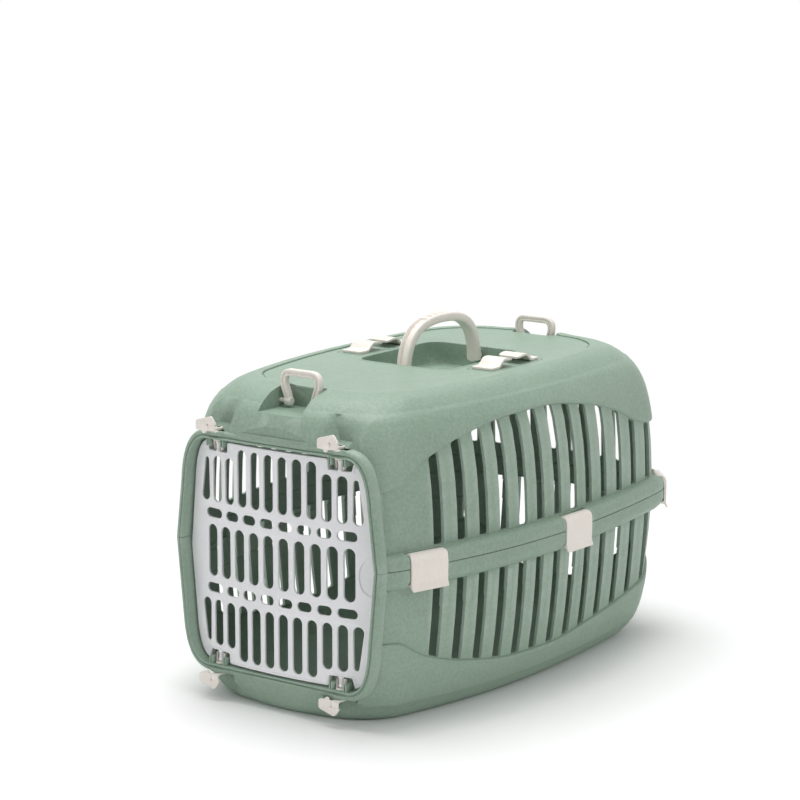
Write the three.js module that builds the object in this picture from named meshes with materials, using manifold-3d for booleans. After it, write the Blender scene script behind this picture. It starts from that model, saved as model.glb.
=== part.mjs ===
// A small two-part pet carrier in moulded plastic. The slatted lid sits on the slatted
// base and seven clips hook the two together. A grille door turns on pins in the front
// opening, and four turning latches hold its pins.
// Millimetres, +Z up, front towards -Y. The origin is the middle of the box's underside.
import * as THREE from 'three';
import { mergeVertices } from 'three/addons/utils/BufferGeometryUtils.js';
import Module from 'manifold-3d';

const wasm = await Module();
wasm.setup();

// Driving sizes of the whole carrier
const frontY = -242;
const rearY = 241;
const rimHalfFront = 121;
const rimHalfMiddle = 165;
const rimHalfRear = 141;
const baseHeight = 150;
const lidHeight = 150;
const wall = 3;
const clearance = 0.3;
const overrun = 2;
const weld = 0.0001;

// Plan of the walls
const frontRadius = 45;
const rearRadius = 56;
const frontBow = 5;
const rearBow = 11;
const rimRadiusShare = 0.27;
const frontSteps = 2;
const frontCornerSteps = 3;
const rearCornerSteps = 4;
const sideSteps = 5;
const rearSteps = 2;

// Draft of the base: how far its wall stands in from the rim at the floor
const baseDraft = 43;
const baseFrontDraft = 16;
const baseDraftShares = [[0, 1], [0.03, 0.82], [0.1, 0.63], [0.22, 0.48], [0.42, 0.37], [0.87, 0.25], [1, 0.24]];
const baseWallShares = [0, 0.25, 1];
const baseCavityShares = [0.1, 0.25, 1];
const tubShares = [0, 0.07, 0.22, 0.5, 1];
const baseFrontShares = [[0, 1], [0.03, 0.6], [0.1, 0.35], [0.22, 0.08], [0.42, 0], [1, 0]];
const baseRadiusShares = [[0, 1], [0.1, 0.92], [0.22, 0.72], [0.42, 0.36], [0.6, rimRadiusShare],
  [1, rimRadiusShare]];

// Draft of the lid: how far its wall stands in from the rim at the top
const lidDraft = 58;
const lidFrontDraft = 46;
const lidDraftShares = [[0, 0.178], [0.12, 0.18], [0.33, 0.2], [0.53, 0.25], [0.7, 0.33],
  [0.81, 0.43], [0.9, 0.58], [0.96, 0.75], [0.985, 0.87], [1, 1]];
const lidWallShares = [0, 0.45, 0.78, 1];
const lidCavityShares = [0, 0.5, 0.8, 0.92];
const capShares = [0, 0.4, 0.71, 0.87, 0.95, 1];
const lidFrontShares = [[0, 0], [0.6, 0], [0.68, 0.02], [0.8, 0.1], [0.9, 0.29], [0.96, 0.54], [0.985, 0.75], [1, 1]];
const lidRadiusShares = [[0, rimRadiusShare], [0.12, 0.3], [0.5, 0.7], [0.7, 0.95], [1, 0.95]];

// The tub stands proud of the slatted wall below a curved ledge, and so does the lid's cap
// above its own. Each curve runs along the side from 0 at the front to 1 at the rear corner,
// and on to 2 at the middle of the rear.
const ledge = 3;
const rearRun = 130;
const tubEdgeShares = [[0, 0.545], [0.06, 0.53], [0.13, 0.42], [0.25, 0.32], [0.42, 0.255], [0.55, 0.25],
  [0.7, 0.29], [0.85, 0.34], [1, 0.41], [1.05, 0.49], [1.19, 0.54], [1.38, 0.45], [1.5, 0.37], [1.65, 0.25],
  [2, 0.205]];
const capEdgeShares = [[0, 0.44], [0.07, 0.5], [0.13, 0.62], [0.26, 0.74], [0.4, 0.795], [0.52, 0.8],
  [0.68, 0.745], [0.82, 0.64], [0.92, 0.52], [1, 0.47], [1.05, 0.45], [1.19, 0.43], [1.38, 0.5], [1.5, 0.58],
  [1.65, 0.7], [2, 0.75]];

// Slots in the walls: places along the side from the front to the rear, and across the rear
const slotWidth = 12;
const sideSlotShares = [0.141, 0.199, 0.255, 0.311, 0.367, 0.422, 0.48, 0.538, 0.596, 0.658, 0.725, 0.793, 0.865];
const rearSlots = 8;
const rearSlotPitch = 30;
const slotFoot = 0.8;
const lidSlotFoot = 14;

// Rim band of the base and bead of the lid, which meet face to face
const bandHeight = 19;
const bandDepth = 13;
const beadHeight = 18;
const bandRoundShares = [[0, 0.55], [0.2, 0.22], [0.5, 0], [1, 0]];

// Front opening, shared by the two shells
const openingHalfRim = 113;
const openingHalfShoulder = 106;
const sillZ = 34;
const archTop = 250;
const openingFlat = 81;
const openingCorner = 103;
const shoulderRise = 42;
const lipWidth = 8;
const lipFront = 5;
const lipDepth = 10;
const collarDepth = 34;
const edgeSteps = 6;

// Door
const doorThickness = 2.4;
const doorFront = 3.5;
const doorBow = 13;
const doorClearance = 2.2;
const pinX = 71;
const pinRadius = 2.2;
const pinHeadRadius = 2.9;
const pinHeadHeight = 2.5;
const pinSides = 10;
const doorNotchHalf = 12.5;
const doorNotchDepth = 10;
const doorEdgeDepth = 6;
const doorEdgeWidth = 2.4;
const doorEdgeRiseShare = 0.55;
const doorCurveSteps = 2;

// Openings of the door: counts, widths and heights of the long slots and the ovals
const endSlots = 12;
const endSlotPitch = 16.2;
const endSlotWidth = 11;
const middleSlots = 10;
const middleSlotPitch = 17.8;
const middleSlotWidth = 12;
const middleSlotHeight = 50;
const ovals = 8;
const ovalPitch = 21.5;
const ovalWidth = 16;
const ovalHeight = 9;
const doorBar = 6.5;
const doorMargin = 7;
const endSteps = 3;

// Latches
const jawInner = 3.9;
const jawWall = 1.5;
const jawHeight = 10.6;
const jawOpenHalf = 58;
const jawCap = 1.2;
const jawSteps = 3;
const latchStem = 2.2;
const latchArmHalf = 2.2;
const latchArmHeight = 2.4;
const leverLong = 17;
const leverShort = 6.1;
const leverHeight = 14;
const leverThickness = 2.4;
const leverForward = 11.5;
const leverBendShare = 0.3;
const leverSteps = 3;
const bracketWall = 2;
const bracketHalf = 8;
const bracketHeight = 7;
const fluteHalf = 14.3;
const fluteDepth = 11;
const fluteCorner = 5;
const fluteSink = 1;
const fluteSteps = 3;
const fluteEndShare = 0.94;

// Side clips
const clipWidth = 42;
const cornerClipWidth = 26;
const clipShares = [0.094, 0.428, 0.765, 1];
const clipThickness = 2.2;
const clipRod = 2.2;
const clipRodInset = 4.5;
const lidRodRise = 9;
const baseRodDrop = 12;
const clipPocket = 9.5;
const clipEyeWall = 1.8;
const clipProud = 2;
const clipLipHeight = 0.4;
const clipTail = 4;
const clipSide = 1;
const clipSteps = 3;

// Rim pegs and sockets
const pegRadius = 2.4;
const pegHeight = 7;
const pegSides = 8;
const pegShares = [0.048, 0.152, 0.353, 0.481, 0.69, 0.9];

// Handle well and main handle
const wellY = 12;
const wellHalfX = 54;
const wellHalfY = 66;
const wellCorner = 16;
const wellDepth = 24;
const wellWall = 4;
const wellSteps = 2;
const handlePivotDrop = 9;
const handleFoot = 60;
const handleRise = 46;
const handleSection = 9;
const handleWidth = 13;
const handlePin = 3;
const gripRibs = 6;
const gripRibPitch = 9;
const gripRibHeight = 1.6;
const gripRibWidth = 4;
const gripFallShare = 0.42;
const handleCurveShares = [0.97, 0.72, 0.7];
const handleSteps = 7;

// Strap loops at the two ends of the lid
const loopPocketHalf = 25;
const loopPocketBack = 10;
const loopPocketFloor = 20;
const loopSetback = 36;
const loopPivotDrop = 14;
const loopHalfFoot = 15;
const loopHalfTop = 20;
const loopRise = 27;
const loopSection = 6.5;
const loopPin = 2;
const loopCurveShares = [0.3, 0.4, 0.7, 0.6];
const loopSteps = 3;

// Belt hooks
const hookWidthShare = 0.5;
const hookLength = 36;
const hookGap = 10;
const hookThickness = 2.2;
const hookRise = 6.5;
const hookPlaceShares = [0.34, 0.5, 0.66];
const hookTipShare = 0.72;
const hookSteps = 5;

// Top panel
const panelRecess = 1.2;
const panelMargin = 5;

const rimZ = baseHeight;
const lidZ = baseHeight + clearance;
const topZ = lidZ + lidHeight;
const quarter = Math.PI / 2;
const rimRadius = frontRadius * rimRadiusShare;

// The belt hooks stand midway between the well and the edge of the top panel
const panelHalf = rimHalfMiddle - lidDraft - panelMargin;
const hookX = (wellHalfX + panelHalf) / 2;
const hookWidth = (panelHalf - wellHalfX) * hookWidthShare;

// Reads a table of pairs at a place, straight between its entries
function along(table, share) {
  let at = 0;
  while (at < table.length - 2 && share > table[at + 1][0]) at += 1;
  const [low, from] = table[at];
  const [high, to] = table[at + 1];
  const part = THREE.MathUtils.clamp((share - low) / (high - low), 0, 1);
  return THREE.MathUtils.lerp(from, to, part);
}

// Makes a solid of a closed three.js geometry
function solidOf(geometry) {
  const plain = geometry.index ? geometry.toNonIndexed() : geometry.clone();
  plain.deleteAttribute('normal');
  plain.deleteAttribute('uv');
  const merged = mergeVertices(plain, weld);
  return new wasm.Manifold(new wasm.Mesh({
    numProp: 3,
    vertProperties: new Float32Array(merged.attributes.position.array),
    triVerts: new Uint32Array(merged.index.array),
  }));
}

function joined(solids) {
  return solids.reduce((whole, solid) => whole.add(solid));
}

function geometryOf(solid) {
  const mesh = solid.getMesh();
  const geometry = new THREE.BufferGeometry();
  geometry.setAttribute('position', new THREE.BufferAttribute(new Float32Array(mesh.vertProperties), 3));
  geometry.setIndex(new THREE.BufferAttribute(new Uint32Array(mesh.triVerts), 1));
  geometry.computeVertexNormals();
  return geometry;
}

// A box from its lowest to its highest corner
function box(low, high) {
  const size = high.map((value, axis) => value - low[axis]);
  const geometry = new THREE.BoxGeometry(...size);
  geometry.translate(...low.map((value, axis) => value + size[axis] / 2));
  return solidOf(geometry);
}

// A round bar of a given length along one axis, centred on a point
function bar(radius, length, axis, centre, sides = pegSides) {
  const geometry = new THREE.CylinderGeometry(radius, radius, length, sides);
  if (axis === 'x') geometry.rotateZ(quarter);
  if (axis === 'z') geometry.rotateX(quarter);
  geometry.translate(...centre);
  return solidOf(geometry);
}

// A shape drawn in X and Z, extruded along +Y from one depth to another
function slabXZ(shape, fromY, toY, curveSegments = edgeSteps) {
  const geometry = new THREE.ExtrudeGeometry(shape, { depth: toY - fromY, bevelEnabled: false, curveSegments });
  geometry.rotateX(quarter);
  geometry.translate(0, toY, 0);
  return solidOf(geometry);
}

// A shape drawn in X and Y, extruded up from one height to another
function slabXY(shape, fromZ, toZ, curveSegments = edgeSteps) {
  const geometry = new THREE.ExtrudeGeometry(shape, { depth: toZ - fromZ, bevelEnabled: false, curveSegments });
  geometry.translate(0, 0, fromZ);
  return solidOf(geometry);
}

// A closed solid through rings of points, all with the same count
function loft(rings) {
  const count = rings[0].length;
  const positions = rings.flat().flatMap((point) => [point.x, point.y, point.z]);
  const faces = [];
  for (let ring = 0; ring < rings.length - 1; ring += 1) {
    for (let at = 0; at < count; at += 1) {
      const next = (at + 1) % count;
      const low = ring * count;
      const high = low + count;
      faces.push(low + at, low + next, high + next, low + at, high + next, high + at);
    }
  }
  const last = (rings.length - 1) * count;
  THREE.ShapeUtils.triangulateShape(rings[0].map((p) => new THREE.Vector2(p.x, p.y)), [])
    .forEach(([a, b, c]) => faces.push(a, c, b));
  THREE.ShapeUtils.triangulateShape(rings.at(-1).map((p) => new THREE.Vector2(p.x, p.y)), [])
    .forEach(([a, b, c]) => faces.push(last + a, last + b, last + c));
  const geometry = new THREE.BufferGeometry();
  geometry.setAttribute('position', new THREE.Float32BufferAttribute(positions, 3));
  geometry.setIndex(faces);
  return solidOf(geometry);
}

// Half the width of the rim at a place along the length
function rimHalf(y) {
  const end = y < 0 ? rimHalfFront : rimHalfRear;
  const reach = y < 0 ? frontY : rearY;
  return rimHalfMiddle - (rimHalfMiddle - end) * (y / reach) ** 2;
}

// How far round the half outline a point is: 0 at the front, 1 at the rear corner, 2 at the
// middle of the rear
function placeAlong(x, y) {
  const sideEnd = rearY - rearRadius;
  if (y < sideEnd) return Math.max(0, (y - frontY) / (sideEnd - frontY));
  return THREE.MathUtils.clamp(2 - Math.abs(x) / rearRun, 1, 2);
}

// The rear edge of the rim at a place across it
function rimRear(x) {
  const across = Math.abs(x);
  const end = rimHalfRear - rearRadius;
  if (across < end) return rearY + rearBow * (1 - (across / end) ** 2);
  return rearY - rearRadius + Math.sqrt(rearRadius ** 2 - (across - end) ** 2);
}

// The plan outline at one level, from the middle of the front round to the right
function outline({ inset, front, rear, radius }) {
  const near = frontY + front;
  const far = rearY - rear;
  const half = (y) => rimHalf(y) - inset;
  const points = [];
  const frontEnd = half(near) - radius;
  for (let at = 0; at < frontSteps; at += 1) {
    const x = (frontEnd * at) / frontSteps;
    points.push({ x, y: near - frontBow * (1 - (x / frontEnd) ** 2) });
  }
  for (let at = 0; at < frontCornerSteps; at += 1) {
    const turn = (quarter * at) / frontCornerSteps;
    const y = near + radius * (1 - Math.cos(turn));
    points.push({ x: half(y) - radius * (1 - Math.sin(turn)), y });
  }
  const sideFrom = near + radius;
  const sideTo = far - rearRadius;
  for (let at = 0; at < sideSteps; at += 1) {
    const y = sideFrom + ((sideTo - sideFrom) * at) / sideSteps;
    points.push({ x: half(y), y });
  }
  for (let at = 0; at < rearCornerSteps; at += 1) {
    const turn = (quarter * at) / rearCornerSteps;
    const y = sideTo + rearRadius * Math.sin(turn);
    points.push({ x: half(y) - rearRadius * (1 - Math.cos(turn)), y });
  }
  const rearEnd = half(far) - rearRadius;
  for (let at = 0; at <= rearSteps; at += 1) {
    const x = rearEnd * (1 - at / rearSteps);
    points.push({ x, y: far + rearBow * (1 - (x / rearEnd) ** 2) });
  }
  const left = points.slice(1, -1).reverse().map(({ x, y }) => ({ x: -x, y }));
  return [...points, ...left];
}

// The wall of the base or lid at a share of its height, moved in by an offset
function baseLevel(share, offset) {
  const inset = baseDraft * along(baseDraftShares, share) + offset;
  return {
    inset,
    front: baseFrontDraft * along(baseFrontShares, share) + offset,
    rear: inset,
    radius: frontRadius * along(baseRadiusShares, share),
  };
}

function lidLevel(share, offset) {
  const inset = lidDraft * along(lidDraftShares, share) + offset;
  return {
    inset,
    front: lidFrontDraft * along(lidFrontShares, share) + offset,
    rear: inset,
    radius: frontRadius * along(lidRadiusShares, share),
  };
}

function ringAt(level, z) {
  return outline(level).map((point) => new THREE.Vector3(point.x, point.y, z));
}

// A solid between rings whose heights run between two curves round the wall
function bandBetween(levelAt, shares, lowAt, highAt, offset, zero, height) {
  const places = outline(levelAt(1 / 2, 0)).map(({ x, y }) => placeAlong(x, y));
  const rings = shares.map((part) => places.map((place, index) => {
    const share = THREE.MathUtils.lerp(lowAt(place), highAt(place), part);
    const point = outline(levelAt(share, offset))[index];
    return new THREE.Vector3(point.x, point.y, zero + height * share);
  }));
  return loft(rings);
}

const tubEdge = (place) => along(tubEdgeShares, place);
const capEdge = (place) => along(capEdgeShares, place);

// The front opening: a flat sill or arch with rounded corners, its sides leaning out to the rim
function openingShape(edgeZ, up, grow) {
  const side = openingHalfShoulder + grow;
  const corner = openingCorner + grow;
  const edge = edgeZ - up * grow;
  const shoulder = edgeZ + up * shoulderRise;
  const shape = new THREE.Shape();
  shape.moveTo(-openingHalfRim - grow, rimZ + up * overrun * -1);
  shape.lineTo(-side, shoulder);
  shape.quadraticCurveTo(-corner, edge, -openingFlat, edge);
  shape.lineTo(openingFlat, edge);
  shape.quadraticCurveTo(corner, edge, side, shoulder);
  shape.lineTo(openingHalfRim + grow, rimZ + up * overrun * -1);
  return shape;
}

// An opening to cut: the same shape carried on past the rim
function openingCut(edgeZ, up, grow, fromY, toY) {
  const main = slabXZ(openingShape(edgeZ, up, grow), fromY, toY);
  const half = openingHalfRim + grow;
  const low = up > 0 ? rimZ - overrun - clearance : rimZ - bandHeight;
  const high = up > 0 ? rimZ + bandHeight : rimZ + overrun + clearance;
  return main.add(box([-half, fromY, low], [half, toY, high]));
}

// Places round the rim: the point and the outward direction at a share of the half outline
function rimPlace(share, side) {
  const points = outline({ inset: 0, front: 0, rear: 0, radius: rimRadius });
  const half = points.slice(frontSteps, points.length / 2 + 1);
  const lengths = [0];
  for (let at = 1; at < half.length; at += 1) {
    lengths.push(lengths[at - 1] + Math.hypot(half[at].x - half[at - 1].x, half[at].y - half[at - 1].y));
  }
  const target = lengths.at(-1) * share;
  let at = 1;
  while (at < half.length - 1 && lengths[at] < target) at += 1;
  const part = (target - lengths[at - 1]) / (lengths[at] - lengths[at - 1]);
  const from = half[at - 1];
  const to = half[at];
  const turn = share === 1 ? quarter : Math.atan2(from.x - to.x, to.y - from.y);
  const x = THREE.MathUtils.lerp(from.x, to.x, part);
  const y = THREE.MathUtils.lerp(from.y, to.y, part);
  return { x: side * x, y, turn: side > 0 ? turn : Math.PI - turn };
}

// Moves a solid built at the rim's own place, with +X outwards, to its place on the rim
function atRim(solid, place, z) {
  return solid.rotate([0, 0, THREE.MathUtils.radToDeg(place.turn)]).translate([place.x, place.y, z]);
}

const clipPlaces = [
  { name: 'clip_front_right', share: clipShares[0], side: 1, width: clipWidth },
  { name: 'clip_front_left', share: clipShares[0], side: -1, width: clipWidth },
  { name: 'clip_middle_right', share: clipShares[1], side: 1, width: clipWidth },
  { name: 'clip_middle_left', share: clipShares[1], side: -1, width: clipWidth },
  { name: 'clip_corner_right', share: clipShares[2], side: 1, width: cornerClipWidth },
  { name: 'clip_corner_left', share: clipShares[2], side: -1, width: cornerClipWidth },
  { name: 'clip_rear', share: clipShares[3], side: 1, width: clipWidth },
].map((clip) => ({ ...clip, ...rimPlace(clip.share, clip.side) }));

// Upright slots through the side and rear walls between two heights
function slotCuts(lowAt, highAt, reachIn) {
  const cuts = [];
  for (const share of sideSlotShares) {
    const y = THREE.MathUtils.lerp(frontY, rearY, share);
    const x = rimHalf(y);
    const place = placeAlong(x, y);
    for (const side of [1, -1]) {
      const near = Math.min(side * (x - reachIn), side * (x - ledge));
      const far = Math.max(side * (x - reachIn), side * (x - ledge));
      cuts.push(box([near, y - slotWidth / 2, lowAt(place)], [far, y + slotWidth / 2, highAt(place)]));
    }
  }
  for (let at = 0; at < rearSlots; at += 1) {
    const x = (at - (rearSlots - 1) / 2) * rearSlotPitch;
    const y = rimRear(x);
    const place = placeAlong(x, y);
    cuts.push(box(
      [x - slotWidth / 2, y - reachIn, lowAt(place)],
      [x + slotWidth / 2, y - ledge, highAt(place)],
    ));
  }
  return cuts;
}

// The thickened rim, rounded where it faces away from the other half
function rimBand(fromZ, height, up) {
  const heights = bandRoundShares.map(([share, round]) => {
    const z = up > 0 ? fromZ + height * share : fromZ + height * (1 - share);
    return { z, inset: bandDepth * round };
  });
  if (up < 0) heights.reverse();
  const outer = loft(heights.map(({ z, inset }) => ringAt({ inset, front: 0, rear: inset, radius: rimRadius }, z)));
  const depth = { inset: bandDepth, front: bandDepth, rear: bandDepth, radius: rimRadius };
  const inner = loft([ringAt(depth, fromZ - overrun), ringAt(depth, fromZ + height + overrun)]);
  return outer.subtract(inner);
}

// Grooves beside the front opening, which leave room for a latch to turn
function flutes(fromZ, toZ, grow) {
  const half = fluteHalf + grow;
  const back = frontY + fluteDepth + grow;
  const corner = fluteCorner + grow;
  const front = frontY - frontRadius;
  return [pinX, -pinX].map((x) => {
    const shape = new THREE.Shape();
    shape.moveTo(x - half, front);
    shape.lineTo(x + half, front);
    shape.absarc(x + half - corner, back - corner, corner, 0, quarter);
    shape.absarc(x - half + corner, back - corner, corner, quarter, quarter * 2);
    return slabXY(shape, fromZ, toZ, fluteSteps);
  });
}

// The collar that carries the edge of the front opening back to the corners of the wall
function collar(edgeZ, up, low, high) {
  const block = openingCut(edgeZ, up, wall, frontY - lipFront, frontY + collarDepth);
  return block.intersect(box([-rimHalfMiddle, frontY - frontRadius, low], [rimHalfMiddle, rearY, high]));
}

// Holes for the stems of the latches through the lip
function stemHoles(edgeZ, up) {
  const from = edgeZ + up * overrun;
  const to = edgeZ - up * (lipWidth + wall);
  return joined([pinX, -pinX].map((x) => (
    bar(latchStem + clearance, Math.abs(to - from), 'z', [x, pinY, (from + to) / 2])
  )));
}

// The walls of a bracket that the jaw of a latch turns between
function brackets(z, up) {
  const low = Math.min(z - up * overrun, z + up * bracketHeight);
  const high = Math.max(z - up * overrun, z + up * bracketHeight);
  return [pinX, -pinX].flatMap((x) => [1, -1].map((side) => {
    const edge = x + side * bracketHalf;
    return box(
      [Math.min(edge, edge + side * bracketWall), frontY - lipFront, low],
      [Math.max(edge, edge + side * bracketWall), pinY + jawInner + jawWall, high],
    );
  }));
}

// Where the bowed door lies at a place across the opening
function doorY(x) {
  return frontY - doorFront + (doorBow * x * x) / (openingHalfRim * openingHalfRim);
}

// The line that the door's pins and the latches turn about
const pinY = doorY(pinX);

// The base: a tub with slatted walls, a rim band with clip pockets and pegs, and the sill
function baseShell() {
  const wallOuter = loft(baseWallShares.map((share) => ringAt(baseLevel(share, 0), baseHeight * share)));
  const tub = bandBetween(baseLevel, tubShares, () => 0, tubEdge, -ledge, 0, baseHeight);
  const cavity = loft([
    ...[wall / baseHeight, ...baseCavityShares].map((share) => ringAt(baseLevel(share, wall), baseHeight * share)),
    ringAt(baseLevel(1, wall), baseHeight + overrun),
  ]);
  const outer = wallOuter.add(tub).add(collar(sillZ, 1, 0, baseHeight));
  const plane = box([-rimHalfMiddle, frontY - frontRadius, 0], [rimHalfMiddle, frontY - frontBow, baseHeight]);
  let shell = outer.subtract(cavity).add(rimBand(rimZ - bandHeight, bandHeight, 1));
  const fluteTop = sillZ - lipWidth + fluteSink;
  shell = shell.add(joined(flutes(0, fluteTop, wall)).intersect(outer));
  shell = shell.subtract(joined(flutes(-overrun, fluteTop, 0)));
  shell = shell.subtract(plane);
  const lip = openingCut(sillZ, 1, lipWidth, frontY - lipFront, frontY - lipFront + lipDepth);
  const lipTrim = box(
    [-rimHalfFront, frontY - lipFront, 0],
    [rimHalfFront, frontY - lipFront + lipDepth, baseHeight],
  );
  shell = shell.add(lip.intersect(lipTrim));
  shell = shell.subtract(openingCut(sillZ, 1, 0, frontY - frontRadius, frontY + frontRadius + bandDepth));
  const slotLow = (place) => baseHeight * tubEdge(place) + slotFoot;
  shell = shell.subtract(joined(slotCuts(slotLow, () => rimZ - bandHeight, baseDraft)));
  shell = shell.add(joined(brackets(sillZ, 1)));
  shell = shell.subtract(stemHoles(sillZ, 1));
  for (const clip of clipPlaces) {
    const half = clip.width / 2 + clipSide;
    const pocket = box([-clipPocket, -half, -bandHeight - overrun], [bandDepth, half, overrun]);
    shell = shell.subtract(atRim(pocket, clip, rimZ));
    const rod = bar(clipRod, clip.width + wall * 2, 'y', [-clipRodInset, 0, -baseRodDrop]);
    shell = shell.add(atRim(rod, clip, rimZ));
  }
  for (const share of pegShares) {
    for (const side of [1, -1]) {
      const peg = bar(pegRadius, pegHeight + wall, 'z', [-bandDepth / 2, 0, (pegHeight - wall) / 2]);
      shell = shell.add(atRim(peg, rimPlace(share, side), rimZ));
    }
  }
  return shell;
}

// The lid: a cap with slatted walls, a bead, the arch, the handle well and the loop pockets
function lidShell() {
  const wallOuter = loft(lidWallShares.map((share) => ringAt(lidLevel(share, 0), lidZ + lidHeight * share)));
  const cap = bandBetween(lidLevel, capShares, capEdge, () => 1, -ledge, lidZ, lidHeight);
  const ceiling = 1 - wall / lidHeight;
  const cavity = loft([
    ringAt(lidLevel(0, wall), lidZ - overrun),
    ...[...lidCavityShares, ceiling].map((share) => ringAt(lidLevel(share, wall), lidZ + lidHeight * share)),
  ]);
  const outer = wallOuter.add(cap).add(collar(archTop, -1, lidZ, topZ));
  let shell = outer.subtract(cavity).add(rimBand(lidZ, beadHeight, -1));
  shell = shell.add(wellSolid(wellWall, wellDepth + wellWall)).add(loopPockets(wall).intersect(outer));
  const fluteLow = archTop + lipWidth - fluteSink;
  const fluteHigh = lidZ + lidHeight * fluteEndShare;
  shell = shell.add(joined(flutes(fluteLow, fluteHigh, wall)).intersect(outer));
  shell = shell.subtract(joined(flutes(fluteLow, fluteHigh, 0)));
  const lip = openingCut(archTop, -1, lipWidth, frontY - lipFront, frontY - lipFront + lipDepth);
  const lipTrim = box([-rimHalfFront, frontY - lipFront, lidZ], [rimHalfFront, frontY - lipFront + lipDepth, topZ]);
  shell = shell.add(lip.intersect(lipTrim));
  shell = shell.subtract(openingCut(archTop, -1, 0, frontY - frontRadius, frontY + frontRadius + bandDepth));
  const slotHigh = (place) => lidZ + lidHeight * capEdge(place) - slotFoot;
  shell = shell.subtract(joined(slotCuts(() => lidZ + lidSlotFoot, slotHigh, lidDraft)));
  shell = shell.add(joined(brackets(archTop, -1)));
  shell = shell.subtract(stemHoles(archTop, -1));
  for (const clip of clipPlaces) {
    const half = clip.width / 2 + clipSide;
    const pocket = box([-clipPocket, -half, -overrun], [bandDepth, half, beadHeight + overrun]);
    shell = shell.subtract(atRim(pocket, clip, lidZ));
    const rod = bar(clipRod, clip.width + wall * 2, 'y', [-clipRodInset, 0, lidRodRise]);
    shell = shell.add(atRim(rod, clip, lidZ));
  }
  for (const share of pegShares) {
    for (const side of [1, -1]) {
      const hole = bar(pegRadius + clearance * 2, pegHeight * 2 + clearance, 'z', [-bandDepth / 2, 0, 0]);
      shell = shell.subtract(atRim(hole, rimPlace(share, side), lidZ));
    }
  }
  shell = shell.subtract(wellSolid(0, wellDepth)).subtract(loopPockets(0));
  shell = shell.subtract(bar(handlePin + clearance, (wellHalfY + wellWall + overrun) * 2, 'y', [0, wellY, handlePivotZ]));
  for (const end of loopEnds) {
    const reach = (loopPocketHalf + wall + overrun) * 2;
    shell = shell.subtract(bar(loopPin + clearance, reach, 'x', [0, end.pivotY, loopPivotZ]));
  }
  return shell.subtract(topPanel());
}

const handlePivotZ = topZ - handlePivotDrop;
const loopPivotZ = topZ - loopPivotDrop;
const loopEnds = [
  { name: 'strap_loop_front', pivotY: frontY + loopSetback, out: -1 },
  { name: 'strap_loop_rear', pivotY: rearY - lidDraft, out: 1 },
];

// The rounded block of the handle well, grown by a wall
function wellSolid(grow, depth) {
  const x = wellHalfX + grow;
  const y = wellHalfY + grow;
  const r = wellCorner + grow;
  const shape = new THREE.Shape();
  shape.moveTo(-x + r, wellY - y);
  shape.lineTo(x - r, wellY - y);
  shape.absarc(x - r, wellY - y + r, r, -quarter, 0);
  shape.absarc(x - r, wellY + y - r, r, 0, quarter);
  shape.absarc(-x + r, wellY + y - r, r, quarter, quarter * 2);
  shape.absarc(-x + r, wellY - y + r, r, quarter * 2, quarter * 3);
  const top = grow > 0 ? topZ - panelRecess - clearance : topZ + overrun;
  return slabXY(shape, topZ - depth, top, wellSteps);
}

// Blocks of the two pockets that the strap loops stand in, open to the end of the lid
function loopPockets(grow) {
  return joined(loopEnds.map(({ pivotY, out }) => {
    const inside = pivotY - out * (loopPocketBack + grow);
    const outside = pivotY + out * (loopSetback + frontRadius);
    const half = loopPocketHalf + grow;
    const low = topZ - loopPocketFloor - grow;
    const near = Math.min(inside, outside);
    const far = Math.max(inside, outside);
    return box([-half, near, low], [half, far, topZ + overrun]);
  }));
}

// The shallow recess of the top panel
function topPanel() {
  const level = lidLevel(1, panelMargin);
  return loft([ringAt(level, topZ - panelRecess), ringAt(level, topZ + overrun)]);
}

// A rounded slot as a hole in a drawing, upright or lying
function slotHole(x, low, high, width) {
  const r = width / 2;
  return new THREE.Path([...roundEnd(x, high - r, r, 0), ...roundEnd(x, low + r, r, quarter * 2)]);
}

function lyingHole(x, z, width, height) {
  const r = height / 2;
  const reach = width / 2 - r;
  return new THREE.Path([...roundEnd(x + reach, z, r, -quarter), ...roundEnd(x - reach, z, r, quarter)]);
}

// Points of a half circle from a starting angle
function roundEnd(x, z, r, from) {
  return Array.from({ length: endSteps + 1 }, (_, at) => {
    const turn = from + (quarter * 2 * at) / endSteps;
    return new THREE.Vector2(x + r * Math.cos(turn), z + r * Math.sin(turn));
  });
}

// The outline of the door: the opening's own shape, moved in by its clearance
function doorOutline(inset) {
  const shape = new THREE.Shape();
  const side = openingHalfShoulder - inset;
  const corner = openingCorner - inset;
  const rim = openingHalfRim - inset;
  const low = sillZ + inset;
  const high = archTop - inset;
  shape.moveTo(-openingFlat, low);
  shape.lineTo(openingFlat, low);
  shape.quadraticCurveTo(corner, low, side, sillZ + shoulderRise);
  shape.lineTo(rim, rimZ);
  shape.lineTo(side, archTop - shoulderRise);
  shape.quadraticCurveTo(corner, high, openingFlat, high);
  shape.lineTo(-openingFlat, high);
  shape.quadraticCurveTo(-corner, high, -side, archTop - shoulderRise);
  shape.lineTo(-rim, rimZ);
  shape.lineTo(-side, sillZ + shoulderRise);
  shape.quadraticCurveTo(-corner, low, -openingFlat, low);
  return shape;
}

// Height of the door's solid edge at a place across it
function doorEdge(x) {
  const past = Math.max(0, Math.abs(x) - openingFlat + endSlotPitch / 2) / (openingCorner - openingFlat);
  const notched = Math.abs(Math.abs(x) - pinX) < doorNotchHalf + endSlotWidth / 2 ? doorNotchDepth : 0;
  return Math.max(doorMargin + notched, doorMargin + shoulderRise * doorEdgeRiseShare * past * past);
}

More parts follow.
